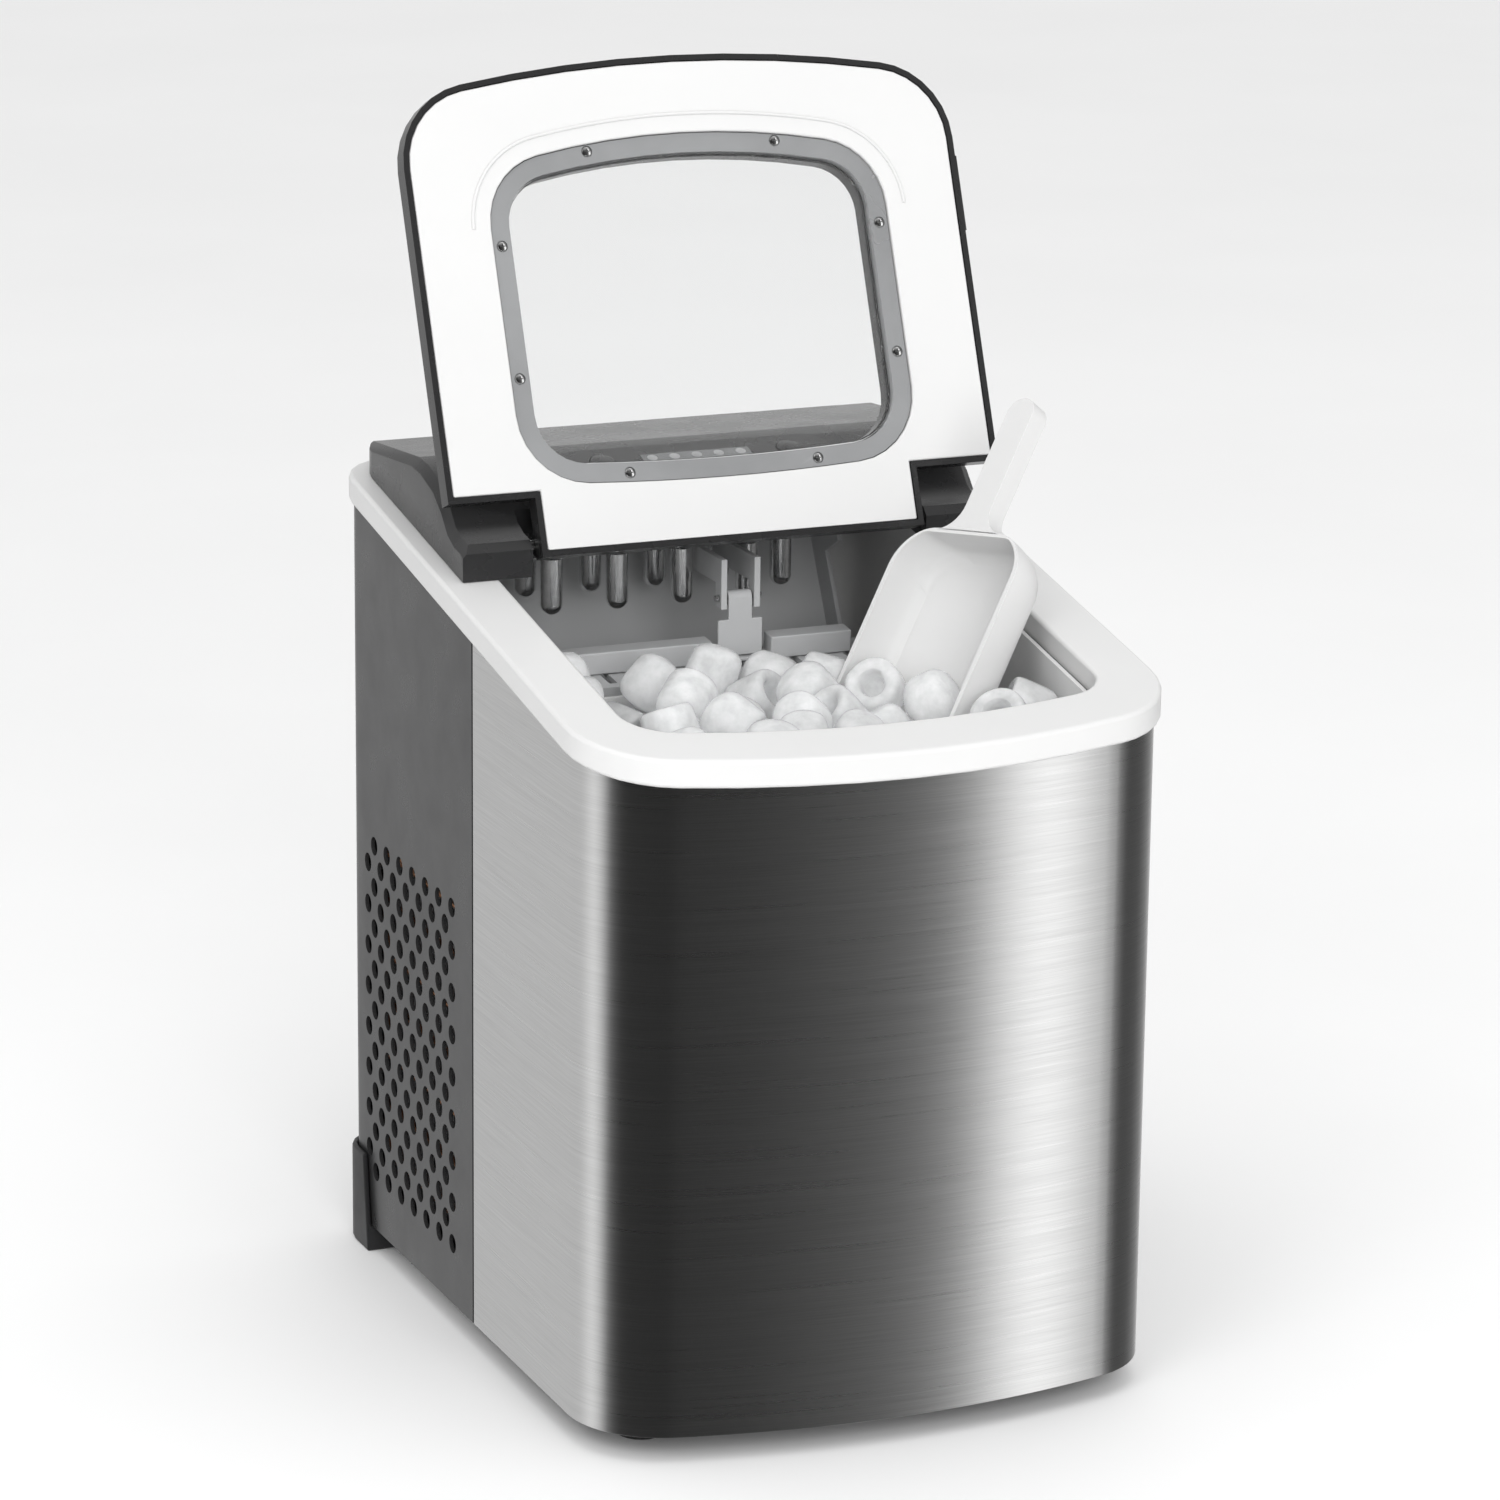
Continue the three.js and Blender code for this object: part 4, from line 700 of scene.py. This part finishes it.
def ice():
    """Loose pieces dropped into the basket, settled and joined into one piece."""
    rng = random.Random(41)
    basket_low, basket_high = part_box("ice_basket")
    floor_z = 203 * MM
    inset = 3.6 * MM
    wall = opening_outline(inset, basket_high.y)
    outer = opening_outline(inset - 30 * MM, basket_high.y)
    bm = bmesh.new()
    low_z, high_z = floor_z - 0.02, 0.46
    rings = [[bm.verts.new((x, y, z)) for x, y in line] for line, z in (
        (wall, low_z), (wall, high_z), (outer, high_z), (outer, low_z))]
    for a, b in zip(rings, rings[1:] + rings[:1]):
        for i in range(len(wall)):
            k = (i + 1) % len(wall)
            bm.faces.new((a[i], a[k], b[k], b[i]))
    box_bm(bm, (-0.13, -0.16, floor_z - 0.03), (0.13, 0.06, floor_z))
    mesh = bpy.data.meshes.new("ice_guard")
    bm.to_mesh(mesh)
    bm.free()
    guard = bpy.data.objects.new("ice_guard", mesh)
    blade = bpy.data.objects.new("scoop_guard", frame["nodes"]["scoop"].data.copy())
    pieces = []
    spare = 0
    columns, rows, layers = 6, 5, 4
    for layer in range(layers):
        for i in range(columns):
            for k in range(rows):
                mesh = bpy.data.meshes.new("bullet")
                shape = bullet(rng)
                shape.to_mesh(mesh)
                shape.free()
                piece = bpy.data.objects.new("bullet", mesh)
                x = (i - (columns - 1) / 2) * 28 * MM + rng.uniform(-2, 2) * MM
                y = -0.052 + (k - (rows - 1) / 2) * 26 * MM + rng.uniform(-2, 2) * MM
                z = floor_z + 0.016 + layer * 30 * MM
                turn = Matrix.Rotation(rng.uniform(0, 6.28), 4, "Z") @ Matrix.Rotation(rng.uniform(0, 6.28), 4, "X")
                piece.matrix_world = Matrix.Translation((x, y, z)) @ turn
                if z > 0.225 and any((SCOOP_PLACE.inverted() @ Vector((x, y, z + dz))).y > -0.016 and
                                     abs((SCOOP_PLACE.inverted() @ Vector((x, y, z + dz))).x) < 0.045 and
                                     (SCOOP_PLACE.inverted() @ Vector((x, y, z + dz))).y < 0.034
                                     for dz in (0, 0.012)):
                    spare += 1
                    if spare > SPARE_PIECES:
                        continue
                    aside = (-0.03 + 0.027 * (spare % 4), -0.112 + 0.012 * (spare % 2), 0.325 + 0.027 * (spare // 4))
                    piece.matrix_world = Matrix.Translation(aside) @ turn
                pieces.append(piece)
    scene = SCENE
    bpy.ops.rigidbody.world_add()
    group = bpy.data.collections.new("ice_drop")
    scene.collection.children.link(group)
    scene.rigidbody_world.collection = group
    for obj in [guard, blade, *pieces]:
        group.objects.link(obj)
    bpy.context.view_layer.update()
    for obj in [guard, blade, *pieces]:
        bpy.context.view_layer.objects.active = obj
        bpy.ops.rigidbody.object_add()
        body = obj.rigid_body
        passive = obj in (guard, blade)
        body.type = "PASSIVE" if passive else "ACTIVE"
        body.collision_shape = "MESH" if passive else "CONVEX_HULL"
        body.use_margin = True
        body.collision_margin = 0.0003
        body.friction = 0.25
        body.restitution = 0.05
        body.linear_damping = 0.2
        body.angular_damping = 0.3
    scene.rigidbody_world.substeps_per_frame = 12
    scene.rigidbody_world.solver_iterations = 20
    last = 44
    for number in range(1, last + 1):
        scene.frame_set(number)
    joined = bmesh.new()
    graph = bpy.context.evaluated_depsgraph_get()
    for piece in pieces:
        place = piece.evaluated_get(graph).matrix_world.copy()
        if max((place @ v.co).z for v in piece.data.vertices) > ICE_TOP:
            continue
        at = place.translation
        if at.z < floor_z - 0.004 or abs(at.x) > OPENING_HALF or at.z > 0.30:
            continue
        part = bmesh.new()
        part.from_mesh(piece.data)
        part.transform(place)
        copy = bpy.data.meshes.new("part")
        part.to_mesh(copy)
        part.free()
        joined.from_mesh(copy)
        bpy.data.meshes.remove(copy)
    for obj in [guard, blade, *pieces]:
        bpy.data.objects.remove(obj)
    bpy.ops.rigidbody.world_remove()
    bpy.data.collections.remove(group)
    scene.frame_set(1)
    heap = made("ice_pieces", joined, LOOKS["ice"], "basket", ["ice_heap"], 60)
    soft = heap.modifiers.new("melt", "SUBSURF")
    soft.levels = soft.render_levels = 1
    return heap


front_wrap()
rear_shell()
condenser()
plain_skins()
lid_screws()
liner_ridge()
indicator_dots()
evaporator()
scoop()
ice()


# ---- stage, light and camera ----

def stage():
    bm = bmesh.new()
    bmesh.ops.create_grid(bm, x_segments=1, y_segments=1, size=6)
    mesh = bpy.data.meshes.new("floor")
    bm.to_mesh(mesh)
    bm.free()
    floor = bpy.data.objects.new("floor", mesh)
    SCENE.collection.objects.link(floor)
    look = Shader("floor")
    tone = look.noise(3, 3)
    look.join(look.blend(tone, (0.88, 0.88, 0.88), (0.9, 0.9, 0.9)), look.surface.inputs["Base Color"])
    look.set(Roughness=0.7)
    floor.data.materials.append(look.material)
    floor.visible_glossy = False


def softbox(name, place, target, size, power, tall=None):
    light = bpy.data.lights.new(name, "AREA")
    light.energy = power
    light.shape = "RECTANGLE"
    light.size = size
    light.size_y = tall or size
    obj = bpy.data.objects.new(name, light)
    SCENE.collection.objects.link(obj)
    obj.location = place
    obj.rotation_euler = (Vector(target) - Vector(place)).to_track_quat("-Z", "Y").to_euler()
    obj.visible_glossy = False
    return obj


def camera():
    yaw, pitch, roll = (math.radians(a) for a in (22.462, 15.334, 0.517))
    forward = Vector((math.sin(yaw) * math.cos(pitch), math.cos(yaw) * math.cos(pitch), -math.sin(pitch)))
    level = Vector((math.cos(yaw), -math.sin(yaw), 0))
    upright = level.cross(forward)
    right = math.cos(roll) * level + math.sin(roll) * upright
    up = math.cos(roll) * upright - math.sin(roll) * level
    data = bpy.data.cameras.new("camera")
    data.sensor_width = 36
    data.lens = 141.25
    data.shift_x = 0.0274
    data.shift_y = 0.0081
    data.clip_start = 0.01
    obj = bpy.data.objects.new("camera", data)
    SCENE.collection.objects.link(obj)
    turn = Matrix((right, up, -forward)).transposed().to_4x4()
    obj.matrix_world = Matrix.Translation((-0.8259, -1.9533, 0.7994)) @ turn
    SCENE.camera = obj


# What glossy surfaces see at each bearing, in degrees from the front towards the right.
BEARING_TONES = (
    (-180, 0.60), (-158, 0.68), (-128, 0.72), (-108, 1.10), (-96, 0.70), (-86, 0.10), (-72, 0.02),
    (-14, 0.015), (3, 0.035), (20, 0.09), (30, 0.14), (34, 0.30), (38, 1.1), (44, 2.1), (48, 1.6),
    (54, 0.60), (60, 0.20), (72, 0.07), (100, 0.10), (125, 0.3), (145, 0.75), (172, 0.75), (180, 0.6),
)


def world():
    """White to the eye, a soft even light on rough surfaces, and banded softboxes in reflections."""
    data = bpy.data.worlds.new("studio")
    SCENE.world = data
    data.use_nodes = True
    tree = data.node_tree
    new, join = tree.nodes.new, tree.links.new
    even = tree.nodes["Background"]
    even.inputs["Color"].default_value = (1, 1, 1, 1)
    even.inputs["Strength"].default_value = 0.93
    split = new("ShaderNodeSeparateXYZ")
    join(new("ShaderNodeTexCoord").outputs["Generated"], split.inputs[0])
    back = new("ShaderNodeMath")
    back.operation = "MULTIPLY"
    back.inputs[1].default_value = -1
    join(split.outputs["Y"], back.inputs[0])
    bearing = new("ShaderNodeMath")
    bearing.operation = "ARCTAN2"
    join(split.outputs["X"], bearing.inputs[0])
    join(back.outputs[0], bearing.inputs[1])
    share = new("ShaderNodeMapRange")
    for socket, number in zip(share.inputs[1:5], (-math.pi, math.pi, 0, 1)):
        socket.default_value = number
    join(bearing.outputs[0], share.inputs[0])
    ramp = new("ShaderNodeValToRGB")
    points = ramp.color_ramp.elements
    brightest = max(tone for _, tone in BEARING_TONES)
    for number, (angle, tone) in enumerate(BEARING_TONES):
        place = (angle + 180) / 360
        point = points[number] if number < 2 else points.new(place)
        point.position = place
        point.color = (*[tone / brightest] * 3, 1)
    join(share.outputs[0], ramp.inputs[0])
    overhead = new("ShaderNodeMapRange")
    for socket, number in zip(overhead.inputs[1:5], (0.6, 1.0, 0, 1)):
        socket.default_value = number
    join(split.outputs["Z"], overhead.inputs[0])
    lifted = new("ShaderNodeMix")
    lifted.data_type = "RGBA"
    join(overhead.outputs[0], lifted.inputs["Factor"])
    join(ramp.outputs[0], lifted.inputs[6])
    lifted.inputs[7].default_value = (0.3, 0.3, 0.3, 1)
    banded = new("ShaderNodeBackground")
    join(lifted.outputs[2], banded.inputs["Color"])
    banded.inputs["Strength"].default_value = brightest
    path = new("ShaderNodeLightPath")
    mix = new("ShaderNodeMixShader")
    join(path.outputs["Is Glossy Ray"], mix.inputs[0])
    join(even.outputs[0], mix.inputs[1])
    join(banded.outputs[0], mix.inputs[2])
    seen = new("ShaderNodeMath")
    seen.operation = "MAXIMUM"
    join(path.outputs["Is Camera Ray"], seen.inputs[0])
    join(path.outputs["Is Transmission Ray"], seen.inputs[1])
    white = new("ShaderNodeBackground")
    white.inputs["Color"].default_value = (1, 1, 1, 1)
    final = new("ShaderNodeMixShader")
    join(seen.outputs[0], final.inputs[0])
    join(mix.outputs[0], final.inputs[1])
    join(white.outputs[0], final.inputs[2])
    join(final.outputs[0], tree.nodes["World Output"].inputs["Surface"])


stage()
world()
softbox("key", (-1.7, -1.3, 1.7), (0, 0, 0.2), 1.0, 10)
softbox("top", (-0.2, -0.5, 2.3), (0, 0, 0.2), 1.4, 6)
softbox("fill", (-0.3, -2.2, 1.0), (0, 0, 0.25), 1.2, 26)
camera()
SCENE.view_settings.view_transform = "Standard"
